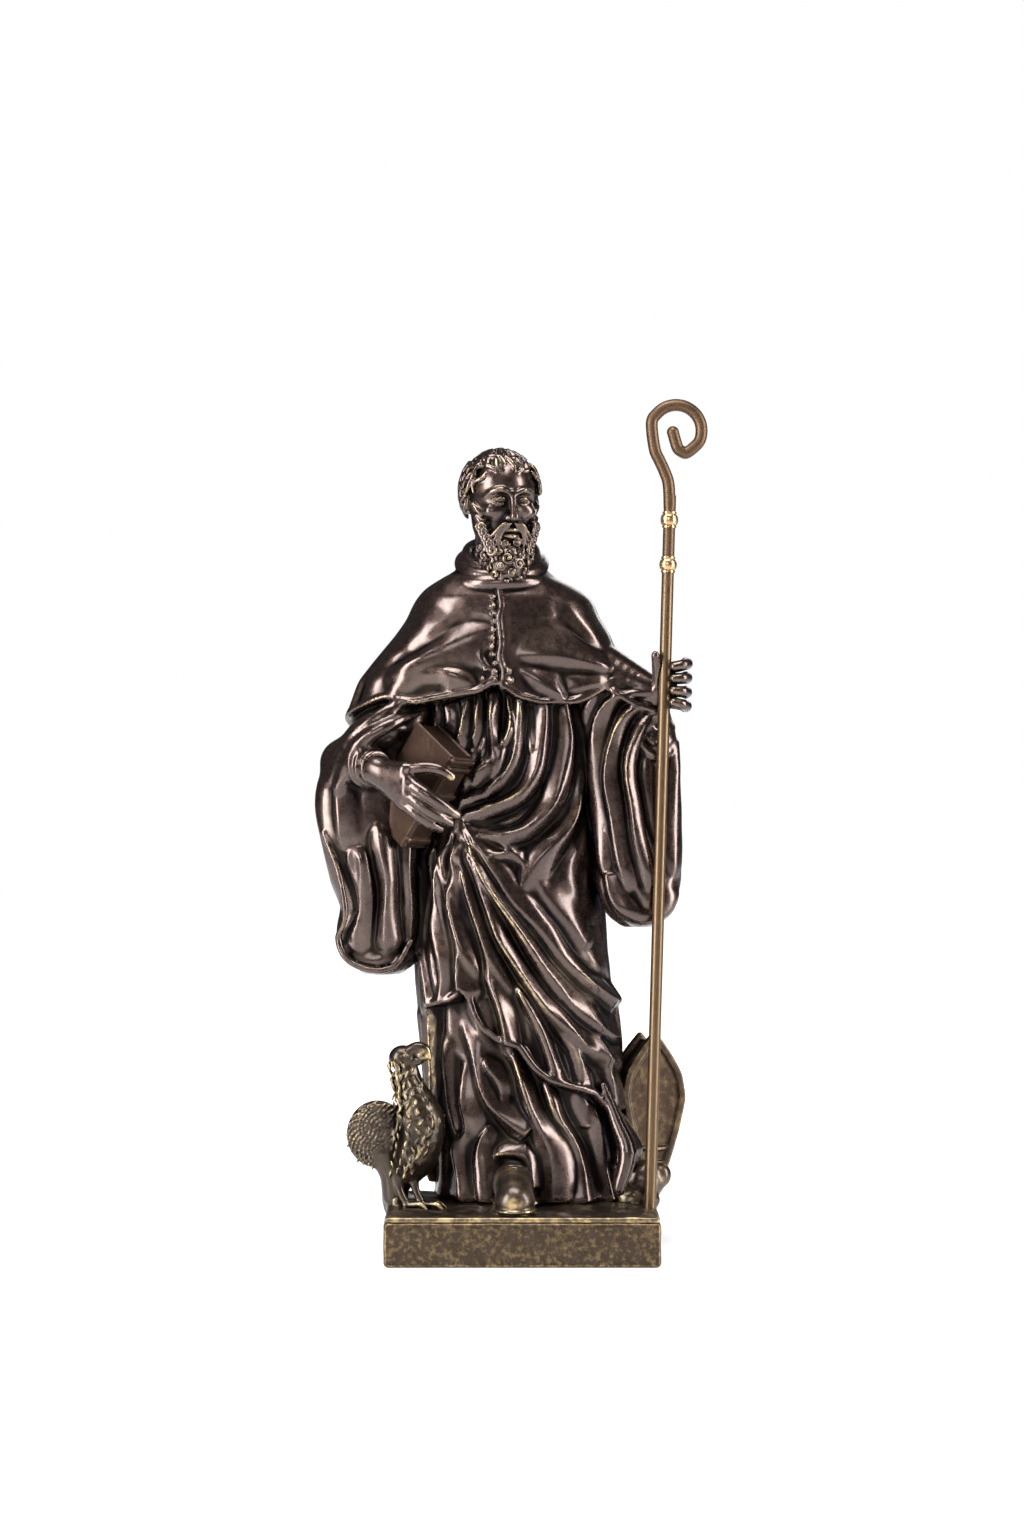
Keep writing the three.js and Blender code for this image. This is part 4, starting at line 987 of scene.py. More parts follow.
def make_raven():
    """The bird: body and neck, beak, wing and tail, small feathers all over, and two feet."""
    clay = Clay([-62, -18, 14], [-22, 4, 74], RAVEN_GRAIN)
    body = [[-40, -7, 25], [-35, -7.5, 34], [-33.6, -8, 45], [-37, -8, 56], [-38.6, -8, 64]]
    clay.stroke(body, [4, 7.6, 8.0, 4.7, 3.6], blend=1)
    clay.egg((-39.4, -8, 65.6), (4.7, 4.2, 4.2), blend=0.8)
    upper_beak = [[-37.4, -9.4, 67.6], [-34.4, -10, 69.2], [-31.8, -10.2, 68.4], [-30.6, -10.2, 65.8]]
    clay.stroke(upper_beak, [2.3, 2.0, 1.6, 0.8], blend=0.35)
    lower_beak = [[-37.2, -9.4, 64.6], [-34.8, -10, 64.4], [-33.2, -10.2, 64.8]]
    clay.stroke(lower_beak, [1.7, 1.4, 0.9], blend=0.3)
    clay.egg((-33.0, -10.2, 66.4), (2.3, 1.9, 1.9), blend=0.4)
    clay.egg((-38.4, -11.9, 66.8), (0.8, 0.6, 0.8), blend=0.1)
    clay.egg((-47.8, -8.4, 40.4), (10.2, 3.4, 11.2), blend=1.2)
    clay.stroke([[-46, -7.5, 34], [-43, -7, 27], [-42, -6, 20]], [4.6, 4.2, 4.4], blend=1.5)
    wing_feathers, body_feathers = 170, 300
    for i in range(wing_feathers):
        reach = math.sqrt((i + 0.5) / wing_feathers)
        a = math.radians(i * GOLDEN_TURN)
        x, z = -47.8 + 9.6 * reach * math.cos(a), 40.4 + 10.6 * reach * math.sin(a)
        y = -8.4 - 3.3 * math.sqrt(max(1 - reach * reach * 0.92, 0.05))
        lean = 0.9 + 0.5 * math.sin(i)
        feather = [[x + 0.9, y - 0.1, z + lean], [x - 0.6, y - 0.3, z - 0.2], [x - 0.6, y, z - lean]]
        clay.stroke(feather, [0.3, 0.5, 0.3], blend=0.3, steps=2)
    heights = [25, 34, 45, 56, 64]
    for i in range(body_feathers):
        z = 27 + 37 * (i + 0.5) / body_feathers
        cx = np.interp(z, heights, [-40.4, -36, -34, -37.4, -40.2])
        r = np.interp(z, heights, [4.6, 8.2, 8.4, 5.4, 4.2])
        a = math.radians(((i * GOLDEN_TURN * 1.31 + 20 * math.sin(i)) % 250) - 125)
        x, y = cx + r * math.sin(a), -7.8 - r * math.cos(a)
        tilt = 0.7 * math.sin(i * 1.9)
        feather = [[x - tilt, y, z + 1.1], [x, y - 0.1, z], [x + tilt * 0.6, y, z - 1.0]]
        clay.stroke(feather, [0.28, 0.45, 0.28], blend=0.35, steps=2)

    def toe_point(x, a, away, z):
        return [x + 3.2 + away * math.cos(a), -11.4 - away * math.sin(a), z]

    for x in (-36.2, -41.5):
        leg = [[x, -9.5, 29], [x + 1, -10.5, 22.5], [x + 3.4, -11.4, 17.6]]
        clay.stroke(leg, [2.2, 1.3, 1.2], blend=0.8)
        for turn in (-28, 2, 30):
            a = math.radians(turn)
            toe = [toe_point(x, a, away, z) for away, z in ((0, 17.4), (5.4, 17.9), (8, 16.4))]
            clay.stroke(toe, [1.1, 0.95, 0.45], blend=0.5)
            for share in (0.36, 0.66, 0.96):
                clay.egg(toe_point(x, a, 5.4 * share, 18.2), (0.5, 0.9, 0.6), blend=0.2)
    return cast(clay, "raven", worn=[((-31.5, -11, 67), 3.0)])


def make_base():
    """The uneven ground, the rocks under bird and mitre, and the shoe."""
    clay = Clay([-48, -36, 13.2], [56, 36, 41], GROUND_GRAIN)
    low = [PLINTH_LOW[0] + 0.4, PLINTH_LOW[1] + 0.4, PLINTH_TOP - 0.2]
    high = [PLINTH_HIGH[0] - 0.4, PLINTH_HIGH[1] - 0.4, PLINTH_TOP + 1.7]
    clay.slab(low, high, round_edge=0.7)
    bumps, rim = 70, 5
    for i in range(bumps):
        x = low[0] + rim + (high[0] - low[0] - 2 * rim) * ((i * 0.6180) % 1)
        y = low[1] + rim + (high[1] - low[1] - 2 * rim) * ((i * 0.7549 + 0.3) % 1)
        size = 3.5 + 3 * ((i * 0.37) % 1)
        clay.egg((x, y, high[2] - 0.5), (size, size * 0.8, 1.1 + 0.5 * ((i * 0.53) % 1)), blend=1.5)
    rocks = [
        ((-42.5, -2, 20), (4.2, 5, 9)), ((-41.5, -6, 18), (3, 5, 3.4)), ((-39, -3, 17), (6, 7, 3)),
        ((40.5, 3, 23.5), (7.0, 6.6, 7.2)), ((41, 15, 21), (6, 7, 7.2)),
        ((46.5, 3, 25.5), (3.4, 3.4, 4)), ((37, 1, 18), (6, 5, 3.6)), ((33, 6, 22), (6, 8, 8)),
        ((43, -1, 17.6), (3, 4, 2.6)),
    ]
    for middle, radii in rocks:
        clay.egg(middle, radii, blend=1.4)
    vamp = [[-3, -4, 24.5], [-2.8, -15, 24.4], [-2.6, -23, 22.6], [-2.4, -26.5, 21.4]]
    clay.stroke(vamp, [6.4, 6.8, 6.2, 5.4], blend=1.2, steps=6)
    clay.egg((-2.4, -26.4, 20.4), (6.5, 6.0, 4.4), blend=2)
    sole = [[-2.8, -10, 17.6], [-2.5, -26, 17.6]]
    clay.stroke(sole, [6.9, 7.1], blend=0.2, flat=(1, 1, 4.6))
    for k in range(3):
        y = -15.5 - 3.2 * k
        crease = [[-8.2, y + 1, 24 - k], [-2.6, y, 31.2 - 1.4 * k], [3.2, y + 1, 24 - k]]
        clay.stroke(crease, [0.5, 0.6, 0.5], blend=0.8, cut=True)
    return cast(clay, "ground_and_shoe", worn=[((-2.4, -32.4, 20), 3.2)])


# Pieces made from plain shapes


def block(name, matrix, size, bevel=0.0):
    """A box of that size in mm, its middle and axes given by the matrix."""
    bpy.ops.mesh.primitive_cube_add(size=1)
    piece = bpy.context.object
    piece.name = name
    piece.matrix_world = matrix @ Matrix.Diagonal((size[0] * MM, size[1] * MM, size[2] * MM, 1))
    choose(piece)
    bpy.ops.object.transform_apply(location=True, rotation=True, scale=True)
    if bevel:
        soft = piece.modifiers.new("soft", "BEVEL")
        soft.width = bevel * MM
        soft.segments = 2
        soft.limit_method = "ANGLE"
        bpy.ops.object.modifier_apply(modifier="soft")
    return piece


def even_mesh(piece, grain):
    """Remeshes a piece evenly, and gives its places in mm and its normals."""
    choose(piece)
    even = piece.modifiers.new("even", "REMESH")
    even.mode = "VOXEL"
    even.voxel_size = grain * MM
    bpy.ops.object.modifier_apply(modifier="even")
    return rows_of(piece.data.vertices, "co") / MM, rows_of(piece.data.vertices, "normal")


def wear_and_shade_marks(piece, grain, strength):
    """Remeshes a piece finely and marks its outer edges as rubbed and its inner ones as hollow, to darken
    with patina and painted shade.
    """
    places, normals = even_mesh(piece, grain)
    mesh = piece.data
    a, b = rows_of(mesh.edges, "vertices", 2, np.int32).T
    apart = places[a] - places[b]
    count = np.bincount(np.concatenate([a, b]), minlength=len(places)) + 1e-9
    bulge = np.bincount(a, (normals[a] * apart).sum(1), len(places))
    bulge -= np.bincount(b, (normals[b] * apart).sum(1), len(places))
    bulge /= count
    for _ in range(2):
        near = np.bincount(a, bulge[b], len(places)) + np.bincount(b, bulge[a], len(places))
        bulge = 0.5 * bulge + 0.5 * near / count
    mark(mesh, "crest", np.clip(bulge / strength, 0, 1))
    # Inner edges darken as patina and painted shade.
    mark(mesh, "hollow", np.clip(-bulge / strength, 0, 1))
    mesh.shade_smooth()
    return piece


def join(pieces, name):
    choose(pieces[0])
    for piece in pieces:
        piece.select_set(True)
    bpy.ops.object.join()
    pieces[0].name = name
    return pieces[0]


PLINTH_BEVEL, PLINTH_GRAIN, PLINTH_WEAR_AND_HIGHLIGHT = 0.9, 0.75, 1.8


def make_plinth():
    """A block with small bevels and slightly uneven faces, its edges brass: rubbed wear and a painted
    highlight along the bevels.
    """
    size = PLINTH_HIGH - PLINTH_LOW
    middle = (PLINTH_HIGH + PLINTH_LOW) / 2 * MM
    plinth = block("bronze_plinth", Matrix.Translation(middle), size)
    bpy.ops.object.mode_set(mode="EDIT")
    bpy.ops.mesh.select_all(action="SELECT")
    bpy.ops.mesh.bevel(offset=PLINTH_BEVEL * MM, segments=3, affect="EDGES")
    bpy.ops.mesh.select_all(action="SELECT")
    bpy.ops.mesh.quads_convert_to_tris()
    bpy.ops.object.mode_set(mode="OBJECT")
    places, normals = even_mesh(plinth, PLINTH_GRAIN)
    x, y, z = places.T
    uneven = 0.10 * np.sin(x * 0.31 + 1) * np.sin(z * 0.7 + y * 0.2) - 0.12
    uneven += 0.07 * np.sin(x * 0.93 + y * 0.8)
    uneven *= np.clip(z / 2, 0, 1)
    places += normals * uneven[:, None]
    to_sides = [size[0] / 2 - np.abs(x), size[1] / 2 - np.abs(y), np.minimum(z, size[2] - z)]
    nearest, next_nearest, _ = np.sort(np.stack(to_sides), axis=0)
    plinth.data.vertices.foreach_set("co", (places * MM).ravel())
    plinth.data.update()
    # Edges at top and bottom turn brass: rubbed wear, and a painted highlight line on the bevels.
    mark(plinth.data, "crest", np.clip(1 - (nearest + next_nearest) / PLINTH_WEAR_AND_HIGHLIGHT, 0, 1))
    # Darker towards the bottom, over its lowest 2.5 mm, by the same mark as the hollows.
    mark(plinth.data, "hollow", np.clip(1 - z / 2.5, 0, 1) * 0.5)
    plinth.data.shade_smooth()
    return plinth


BOOK_CORNER = Vector((-23, -24, 165.7))
BOOK_DOWN = Vector((-17.3, 12.8, -30.7)).normalized()
BOOK_BACK = Vector((7.6, 8.6, -0.7)).normalized()
BOOK_WIDE = -BOOK_DOWN.cross(BOOK_BACK).normalized()
BOOK_LENGTH, BOOK_WIDTH, BOOK_THICKNESS = 37, 20, 11
BOARD_THICKNESS, LEAVES, BOOK_GRAIN = 1.3, 9, 0.28


def make_book():
    """Two boards, a block of leaves with grooves between them, and a spine with raised bands."""
    turn = Matrix((BOOK_BACK, BOOK_WIDE, -BOOK_DOWN)).transposed().to_4x4()

    def part(name, down, wide, back, bevel):
        middle = BOOK_CORNER + BOOK_DOWN * (sum(down) / 2) + BOOK_WIDE * (sum(wide) / 2)
        middle += BOOK_BACK * (sum(back) / 2)
        size = (back[1] - back[0], wide[1] - wide[0], down[1] - down[0])
        return block(name, Matrix.Translation(middle * MM) @ turn, size, bevel)

    parts = []
    for front in (0, BOOK_THICKNESS - BOARD_THICKNESS):
        back = (front, front + BOARD_THICKNESS)
        parts.append(part("board", (0, BOOK_LENGTH), (-0.2, BOOK_WIDTH), back, 0.45))
    thick = (BOOK_THICKNESS - 2 * BOARD_THICKNESS) / LEAVES
    for i in range(LEAVES):
        start = BOARD_THICKNESS + i * thick
        inset = 0.8 + 0.15 * (i % 2)
        back = (start - 0.05, start + thick + 0.02)
        parts.append(part("leaf", (inset, BOOK_LENGTH - inset), (0.5, BOOK_WIDTH - inset), back, 0.12))
    parts.append(part("spine", (0.3, BOOK_LENGTH - 0.3), (-0.9, 1.2), (0.7, BOOK_THICKNESS - 0.7), 0.6))
    for share in (0.05, 0.13, 0.42, 0.7, 0.9):
        centre = BOOK_LENGTH * share
        down = (centre - 0.9, centre + 0.9)
        parts.append(part("band", down, (-1.9, 1.0), (0.3, BOOK_THICKNESS - 0.3), 0.5))
    return wear_and_shade_marks(join(parts, "book"), BOOK_GRAIN, 0.07)


def make_mitre():
    """Two pointed shields a little apart, each with a raised border, and the cap between them."""
    outline = [
        (-5.5, -22), (5.5, -22), (10, -8), (12, 2), (10.4, 10), (6, 17), (0, 24),
        (-6, 17), (-10.4, 10), (-12, 2), (-10, -8),
    ]
    turn = Matrix.Rotation(math.radians(4), 4, "Y") @ Matrix.Rotation(math.radians(24), 4, "Z")
    turn = turn @ Matrix.Rotation(math.radians(-7), 4, "X") @ Matrix.Rotation(math.radians(90), 4, "X")
    clay = Clay([-15, -25, -10], [15, 27, 8], MITRE_GRAIN)
    clay.prism(outline, -6, 3, inset=1.6)
    clay.prism(outline, 2.2, 5.4)
    clay.prism(outline, 4.5, 8, inset=2.4, cut=True, blend=0.4)
    clay.prism(outline, -8.4, -5.4)
    clay.prism(outline, -11, -7.6, inset=2.4, cut=True, blend=0.4)
    clay.stroke([[0, -19, 4.2], [0, 0, 4.5], [0, 20, 4.2]], [0.9, 1.0, 0.9], blend=0.5)
    clay.stroke([[-7, -15, 4.4], [0, -15.6, 4.7], [7, -15, 4.4]], [0.7, 0.8, 0.7], blend=0.5)
    return cast(clay, "mitre", Matrix.Translation((42.6, 16, 48.5)) @ turn)


# The crosier


STAFF_RADIUS = 2.0
STAFF_LENGTH = 228
KNOP_HEIGHT, KNOP_SPACING, KNOP_RADIUS = 5.2, 14.8, 2.9
CROOK_RADIUS, CROOK_TIP, CROOK_NECK = 8.4, 3.2, 28
STAFF_FOOT = Vector((STAFF_X, -10, STAFF_BOTTOM))
STAFF_UP = Vector((math.sin(STAFF_LEAN), 0, math.cos(STAFF_LEAN)))
STAFF_ACROSS = Vector((STAFF_UP.z, 0, -STAFF_UP.x))


def on_staff(up, across=0.0):
    """The point that far up the staff, and that far to the side of it."""
    return STAFF_FOOT + STAFF_UP * up + STAFF_ACROSS * across


def make_staff():
    """A straight rod, bent into a swan neck and a round curl with a hooked tip."""
    start = STAFF_LENGTH + KNOP_HEIGHT / 2
    middle = (CROOK_RADIUS / 6, STAFF_LENGTH + CROOK_NECK + 1.6)

    def bow(centre, radius, degrees):
        a = math.radians(degrees)
        return (centre[0] + radius * math.cos(a), centre[1] + radius * math.sin(a))

    begin = bow(middle, CROOK_RADIUS, 190)
    pulls = [(0, start + CROOK_NECK * 0.12), (0, start + CROOK_NECK * 0.5),
             (begin[0] + CROOK_RADIUS * 0.2, begin[1] - CROOK_NECK * 0.33), begin]
    flat = [(0, 0), (0, STAFF_LENGTH * 0.5), (0, STAFF_LENGTH), (0, start)]
    for i in range(1, 5):
        t = i / 5
        weights = ((1 - t) ** 3, 3 * t * (1 - t) ** 2, 3 * t * t * (1 - t), t ** 3)
        flat.append(tuple(sum(w * p[k] for w, p in zip(weights, pulls)) for k in (0, 1)))
    flat += [bow(middle, CROOK_RADIUS, degrees) for degrees in range(165, -51, -24)]
    tip = bow(middle, CROOK_RADIUS - CROOK_TIP, -50)
    flat += [bow(tip, CROOK_TIP, degrees) for degrees in range(-80, -191, -30)]
    flat.append((tip[0] - CROOK_TIP - CROOK_RADIUS * 0.14, tip[1] + CROOK_RADIUS * 0.4))
    dense = smooth_line(flat, 6)
    curve = bpy.data.curves.new("crosier_rod", "CURVE")
    curve.dimensions = "3D"
    curve.bevel_depth = STAFF_RADIUS * MM
    curve.bevel_resolution = 7
    curve.use_fill_caps = True
    spline = curve.splines.new("POLY")
    spline.points.add(len(dense) - 1)
    for point, (across, up) in zip(spline.points, dense):
        point.co = (*(on_staff(up, across) * MM), 1)
    choose(add("crosier_rod", curve))
    bpy.ops.object.convert(target="MESH")
    rod = bpy.context.object
    bpy.ops.mesh.primitive_uv_sphere_add(segments=24, ring_count=12, radius=STAFF_RADIUS * 1.02 * MM)
    ball = bpy.context.object
    ball.location = on_staff(flat[-1][1], flat[-1][0]) * MM
    bpy.ops.object.transform_apply(location=True)
    rod = join([rod, ball], "crosier_rod")
    rod.data.shade_smooth()
    heights = np.array([v.co.z for v in rod.data.vertices]) / MM
    bent_part = heights - (STAFF_BOTTOM + STAFF_LENGTH - KNOP_SPACING)
    mark(rod.data, "hollow", np.clip(bent_part / 1.5, 0, 1) * 0.4)
    return rod


def make_knop(up, name, belly):
    """A turned bead round the rod: a fillet, a swelling and a second fillet."""
    half = KNOP_HEIGHT / 2
    fillet = [(STAFF_RADIUS, half), (2.3, half), (2.35, half - 0.5), (2.15, half - 0.8)]
    profile = [(r, -z) for r, z in fillet]
    for i in range(9):
        a = math.radians(-70 + 140 * i / 8)
        height = (half - 0.9) * math.sin(a) / math.sin(math.radians(70))
        profile.append((2.2 + (KNOP_RADIUS - 2.2) * math.cos(a) ** belly, height))
    profile += fillet[::-1]
    mesh = bpy.data.meshes.new(name)
    shape = bmesh.new()
    ring = [shape.verts.new((r * MM, 0, z * MM)) for r, z in profile]
    edges = [shape.edges.new((ring[i], ring[(i + 1) % len(ring)])) for i in range(len(ring))]
    bmesh.ops.spin(
        shape, geom=ring + edges, axis=(0, 0, 1), cent=(0, 0, 0), steps=40, angle=math.tau, use_merge=True,
    )
    bmesh.ops.remove_doubles(shape, verts=shape.verts, dist=1e-6)
    bmesh.ops.recalc_face_normals(shape, faces=shape.faces)
    shape.to_mesh(mesh)
    shape.free()
    knop = add(name, mesh)
    mesh.transform(Matrix.Translation(on_staff(up) * MM) @ Matrix.Rotation(STAFF_LEAN, 4, "Y"))
    choose(knop)
    bpy.ops.object.shade_smooth_by_angle(angle=math.radians(40))
    mark(mesh, "crest", np.full(len(mesh.vertices), 0.5))
    return knop


# Finishes


COLOUR, VALUE = "NodeSocketColor", "NodeSocketFloat"


def node_group(name, inputs, outputs):
    group = bpy.data.node_groups.new(name, "ShaderNodeTree")
    for label, kind in inputs.items():
        group.interface.new_socket(label, in_out="INPUT", socket_type=kind)
    for label, kind in outputs.items():
        group.interface.new_socket(label, in_out="OUTPUT", socket_type=kind)
    return group, group.nodes.new("NodeGroupInput"), group.nodes.new("NodeGroupOutput")


def marked_on_mesh(tree, name):
    node = tree.nodes.new("ShaderNodeAttribute")
    node.attribute_name = name
    return node.outputs["Fac"]


def feed(tree, node, values):
    """Sets inputs of a node to numbers and colours, or links them to outputs."""
    for socket, value in values.items():
        if isinstance(value, (int, float, tuple)):
            node.inputs[socket].default_value = value
        else:
            tree.links.new(value, node.inputs[socket])


def noise(tree, vector, scale, detail, roughness):
    node = tree.nodes.new("ShaderNodeTexNoise")
    feed(tree, node, {"Vector": vector, "Scale": scale, "Detail": detail, "Roughness": roughness})
    return node.outputs["Fac"]


def scaled(tree, value, low, high, to_low=0.0, to_high=1.0):
    """The value moved smoothly from one range to another."""
    node = tree.nodes.new("ShaderNodeMapRange")
    node.interpolation_type = "SMOOTHSTEP"
    ranges = {"From Min": low, "From Max": high, "To Min": to_low, "To Max": to_high}
    feed(tree, node, {"Value": value, **ranges})
    return node.outputs["Result"]


def spread_out(tree, vector, amount):
    node = tree.nodes.new("ShaderNodeVectorMath")
    node.operation = "SCALE"
    feed(tree, node, {0: vector, "Scale": amount})
    return node.outputs[0]


def maths(tree, operation, a, b):
    node = tree.nodes.new("ShaderNodeMath")
    node.operation = operation
    feed(tree, node, {0: a, 1: b})
    return node.outputs[0]


def mixed(tree, share, a, b):
    """Two colours mixed; the node's inputs 6 and 7 and its output 2 are the ones for colours."""
    node = tree.nodes.new("ShaderNodeMix")
    node.data_type = "RGBA"
    feed(tree, node, {0: share, 6: a, 7: b})
    return node.outputs[2]


def patina_group():
    """Rubbed crests, hollows darkened with patina and painted shade, and cloudy patina, from the marks on
    the casting.
    """
    group, given, out = node_group(
        "rubbed_patina",
        {"Patina": COLOUR, "Brass": COLOUR, "Dark": COLOUR, "Rub": VALUE, "Patches": VALUE, "Gloss": VALUE,
         "Fineness": VALUE, "Lacquer": VALUE},
        {"Colour": COLOUR, "Roughness": VALUE, "Height": VALUE, "Skin": VALUE},
    )
    given = given.outputs

    def times(a, b):
        return maths(group, "MULTIPLY", a, b)

    def plus(a, b):
        return maths(group, "ADD", a, b)

    spot = group.nodes.new("ShaderNodeTexCoord").outputs["Object"]
    place = spread_out(group, spot, given["Fineness"])
    crest = marked_on_mesh(group, "crest")
    hollow = marked_on_mesh(group, "hollow")
    cloud = noise(group, place, 60, 6, 0.62)
    grain = noise(group, spot, 420, 5, 0.65)
    speck = noise(group, spot, 900, 3, 0.7)
    broken = times(scaled(group, grain, 0.35, 0.62), scaled(group, cloud, 0.36, 0.6))
    uneven = plus(times(broken, 0.85), 0.15)
    rubbed = times(times(scaled(group, crest, 0.35, 0.95), uneven), given["Rub"])
    flecks = times(scaled(group, speck, 0.62, 0.74), given["Patches"])
    patches = times(scaled(group, cloud, 0.44, 0.7), given["Patches"])
    bare = plus(rubbed, maths(group, "MAXIMUM", flecks, patches))
    # Hollows go towards the dark colour: partly patina, partly painted shade.
    tone = mixed(group, scaled(group, hollow, 0.05, 0.6), given["Patina"], given["Dark"])
    rough = plus(given["Gloss"], times(scaled(group, grain, 0.3, 0.7), 0.12))
    open_to_light = scaled(group, hollow, 0.05, 0.55, 1.0, 0.08)
    feed(group, out, {
        "Colour": mixed(group, maths(group, "MINIMUM", bare, 1.0), tone, given["Brass"]),
        "Roughness": plus(rough, times(hollow, 0.18)),
        "Height": plus(times(grain, 0.6), times(cloud, 0.8)),
        "Skin": times(open_to_light, given["Lacquer"]),
    })
    return group


PATINA = patina_group()


def metal(name, patina, brass, dark, bump, **levels):
    """A finish of patina, the brass that wear bares and the dark of its hollows, which is patina and painted
    shade.
    """
    material = bpy.data.materials.new(name)
    material.use_nodes = True
    tree = material.node_tree
    use = tree.nodes.new("ShaderNodeGroup")
    use.node_tree = PATINA
    feed(tree, use, {"Patina": (*patina, 1), "Brass": (*brass, 1), "Dark": (*dark, 1)})
    feed(tree, use, {label.capitalize(): level for label, level in levels.items()})
    relief = tree.nodes.new("ShaderNodeBump")
    feed(tree, relief, {"Strength": bump, "Distance": 0.4 * MM, "Height": use.outputs["Height"]})
    feed(tree, tree.nodes["Principled BSDF"], {
        "Base Color": use.outputs["Colour"],
        "Roughness": use.outputs["Roughness"],
        "Normal": relief.outputs["Normal"],
        "Metallic": 0.92,
        "Coat Weight": use.outputs["Skin"],
        "Coat Roughness": 0.14,
    })
    return material


# For the cast pieces the third colour is the dark of the hollows: patina and painted shade.
DARK_BRONZE = metal(
    "dark_bronze", (0.054, 0.034, 0.029), (0.38, 0.28, 0.15), (0.004, 0.002, 0.002),
    bump=0.09, rub=1.0, patches=0.04, gloss=0.22, lacquer=0.5, fineness=1,
)
GROUND_BRONZE = metal(
    "ground_bronze", (0.042, 0.029, 0.023), (0.40, 0.29, 0.14), (0.006, 0.004, 0.004),
    bump=0.4, rub=0.9, patches=0.22, gloss=0.30, lacquer=0.3, fineness=3,
)
BOOK_BRONZE = metal(
    "book_bronze", (0.030, 0.016, 0.011), (0.40, 0.30, 0.16), (0.006, 0.004, 0.003),
    bump=0.6, rub=1.5, patches=0.04, gloss=0.42, lacquer=0.1, fineness=2,
)
FEATHER_BRONZE = metal(
    "feather_bronze", (0.038, 0.027, 0.019), (0.40, 0.30, 0.155), (0.005, 0.003, 0.003),
    bump=0.2, rub=1.2, patches=0.03, gloss=0.27, lacquer=0.25, fineness=2,
)
MITRE_BRONZE = metal(
    "mitre_bronze", (0.028, 0.017, 0.011), (0.26, 0.18, 0.085), (0.01, 0.006, 0.005),
    bump=0.45, rub=1.4, patches=0.2, gloss=0.40, lacquer=0.15, fineness=5,
)
PLINTH_BRONZE = metal(
    "plinth_bronze", (0.043, 0.029, 0.019), (0.27, 0.185, 0.085), (0.01, 0.008, 0.006),
    bump=0.6, rub=2.4, patches=0.42, gloss=0.38, lacquer=0.1, fineness=11,
)
# The rod's dark tone is the warm brown of its bent part, above the lower knop
STAFF_BRASS = metal(
    "staff_brass", (0.100, 0.063, 0.033), (0.13, 0.085, 0.048), (0.075, 0.043, 0.026),
    bump=0, rub=0.3, patches=0, gloss=0.33, lacquer=0.15, fineness=1,
)
KNOP_BRASS = metal(
    "knop_brass", (0.41, 0.265, 0.13), (0.46, 0.31, 0.16), (0.3, 0.2, 0.08),
    bump=0, rub=0.3, patches=0, gloss=0.2, lacquer=0.1, fineness=1,
)


# Putting it together


def settle(piece, material, *nodes, slot):
    piece.data.materials.clear()
    piece.data.materials.append(material)
    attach(piece, "root")
    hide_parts(*nodes)


for piece in (make_robes(), make_head(), make_hand_on_book(), make_hand_on_staff()):
    settle(piece, DARK_BRONZE, "cast_statue", slot="dark_bronze")
settle(make_raven(), FEATHER_BRONZE, "cast_statue", slot="dark_bronze")
settle(make_mitre(), MITRE_BRONZE, "cast_statue", slot="dark_bronze")
settle(make_book(), BOOK_BRONZE, "cast_statue", slot="dark_bronze")
settle(make_base(), GROUND_BRONZE, "cast_statue", slot="dark_bronze")
settle(make_plinth(), PLINTH_BRONZE, "plinth", slot="plinth_bronze")
settle(make_staff(), STAFF_BRASS, "crosier_staff", slot="aged_brass")
lower_knop = make_knop(STAFF_LENGTH - KNOP_SPACING, "lower_knop", 1.6)
settle(lower_knop, KNOP_BRASS, "crosier_knop_lower", slot="bright_brass")
upper_knop = make_knop(STAFF_LENGTH, "upper_knop", 1.0)
settle(upper_knop, KNOP_BRASS, "crosier_knop_upper", slot="bright_brass")


# Floor, light and camera


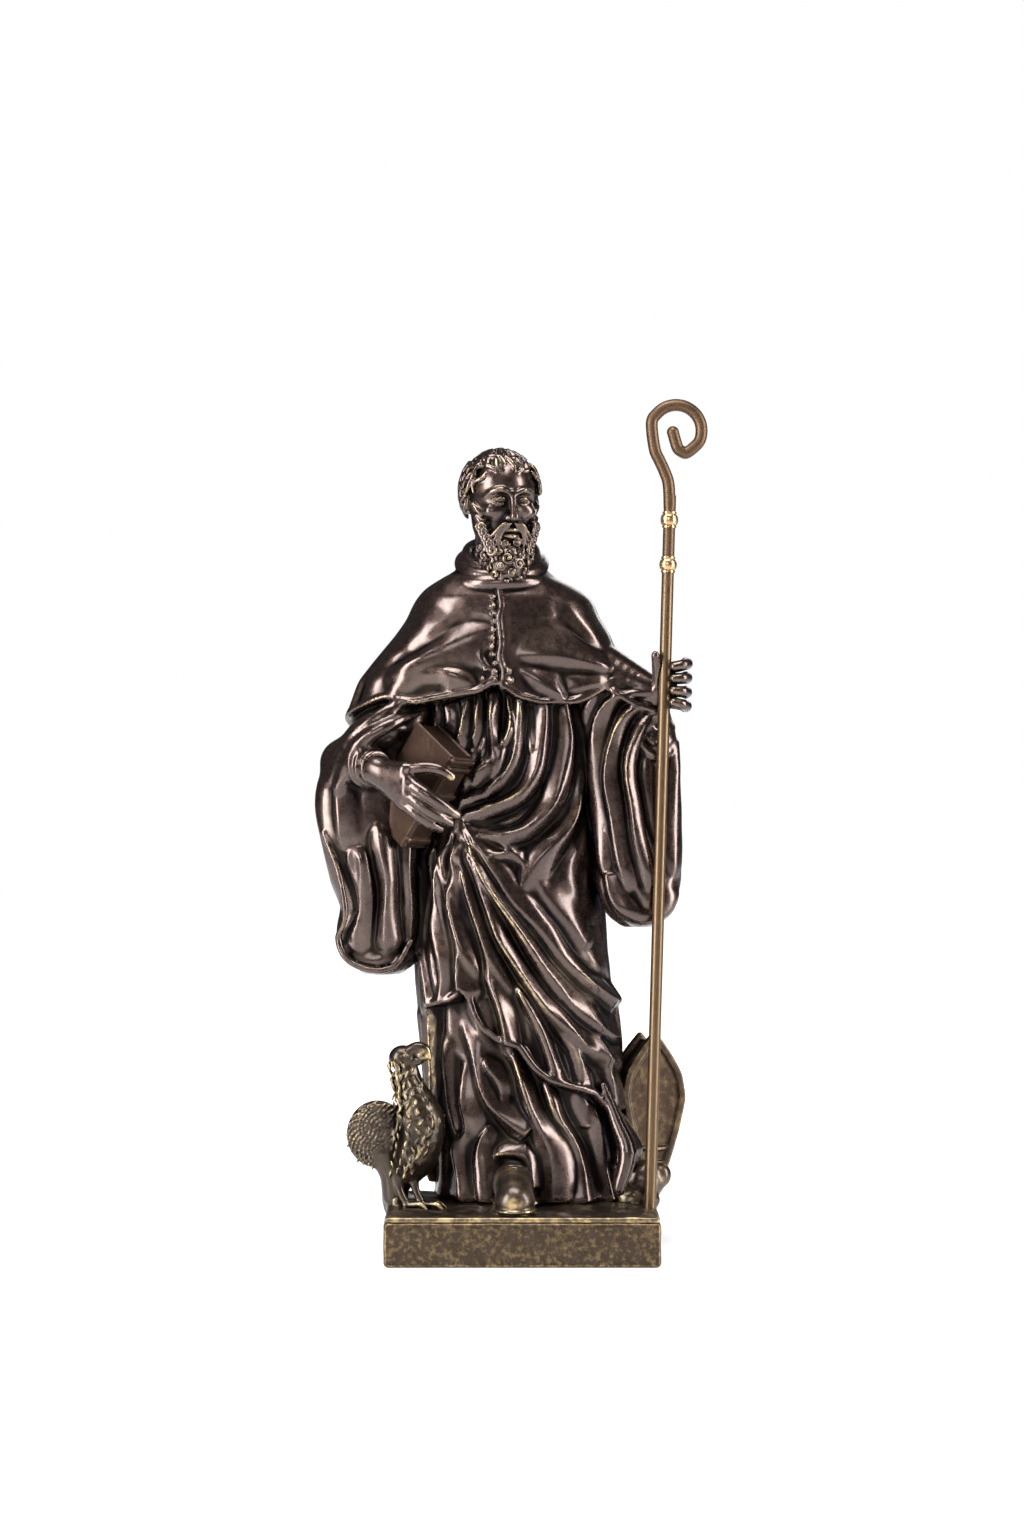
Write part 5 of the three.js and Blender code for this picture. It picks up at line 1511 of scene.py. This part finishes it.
def make_floor():
    """A pale floor that glows into the white background, less so near the statue, where the dimmer glow is
    painted grey shade; it also glows faintly on the statue, painted light from below.
    """
    bpy.ops.mesh.primitive_plane_add(size=6, location=(0, 0, -0.0002))
    floor = bpy.context.object
    floor.name = "floor"
    material = bpy.data.materials.new("pale_floor")
    material.use_nodes = True
    tree = material.node_tree
    seen = tree.nodes.new("ShaderNodeLightPath").outputs["Is Camera Ray"]
    away = tree.nodes.new("ShaderNodeVectorMath")
    away.operation = "LENGTH"
    feed(tree, away, {0: tree.nodes.new("ShaderNodeTexCoord").outputs["Object"]})
    # Near the statue the camera sees a dimmer glow, painted shade; other rays see a faint glow of 0.10,
    # painted light from below.
    far = scaled(tree, away.outputs["Value"], 0.1, 0.6, 0.38, 1.1)
    feed(tree, tree.nodes["Principled BSDF"], {
        "Base Color": (0.9, 0.9, 0.9, 1),
        "Roughness": 0.22,
        "Emission Color": (1, 1, 1, 1),
        "Emission Strength": maths(tree, "MAXIMUM", maths(tree, "MULTIPLY", seen, far), 0.10),
    })
    floor.data.materials.append(material)


def soft_light(name, place, size, power):
    """A window of light at that place, turned to the statue's middle."""
    data = bpy.data.lights.new(name, "AREA")
    data.shape = "RECTANGLE"
    data.size, data.size_y = size
    data.energy = power
    lamp = add(name, data)
    lamp.location = place
    lamp.rotation_euler = (AIM - Vector(place)).to_track_quat("-Z", "Y").to_euler()


make_floor()
AIM = Vector((0, 0, 0.14))
soft_light("left_window", (-0.8, -0.5, 0.35), (0.35, 0.9), 19)
soft_light("right_window", (0.85, -0.3, 0.35), (0.3, 0.9), 15)
soft_light("top_window", (-0.1, -0.25, 1.0), (0.8, 0.4), 15)
soft_light("front_fill", (-0.3, -1.4, 0.55), (0.6, 0.4), 4.5)
soft_light("back_window", (0.35, 1.1, 0.7), (0.6, 0.6), 2.5)

world = bpy.data.worlds.new("studio")
world.use_nodes = True
tree = world.node_tree
seen = tree.nodes.new("ShaderNodeLightPath").outputs["Is Camera Ray"]
tone = mixed(tree, seen, (0.05, 0.05, 0.055, 1), (1, 1, 1, 1))
feed(tree, tree.nodes["Background"], {"Color": tone, "Strength": 1.0})
bpy.context.scene.world = world
bpy.context.scene.view_settings.view_transform = "Standard"

CAMERA_PLACE = Vector((-3.33, -1100, 162))
FOCAL_PIXELS = 3300
PHOTO_HEIGHT = 1533
SENSOR_WIDTH = 36
camera_data = bpy.data.cameras.new("camera")
camera_data.sensor_width = SENSOR_WIDTH
camera_data.lens = FOCAL_PIXELS / PHOTO_HEIGHT * SENSOR_WIDTH
camera_data.clip_end = 20
camera = add("camera", camera_data)
camera.location = CAMERA_PLACE * MM
camera.rotation_euler = (math.pi / 2, 0, 0)
bpy.context.scene.camera = camera
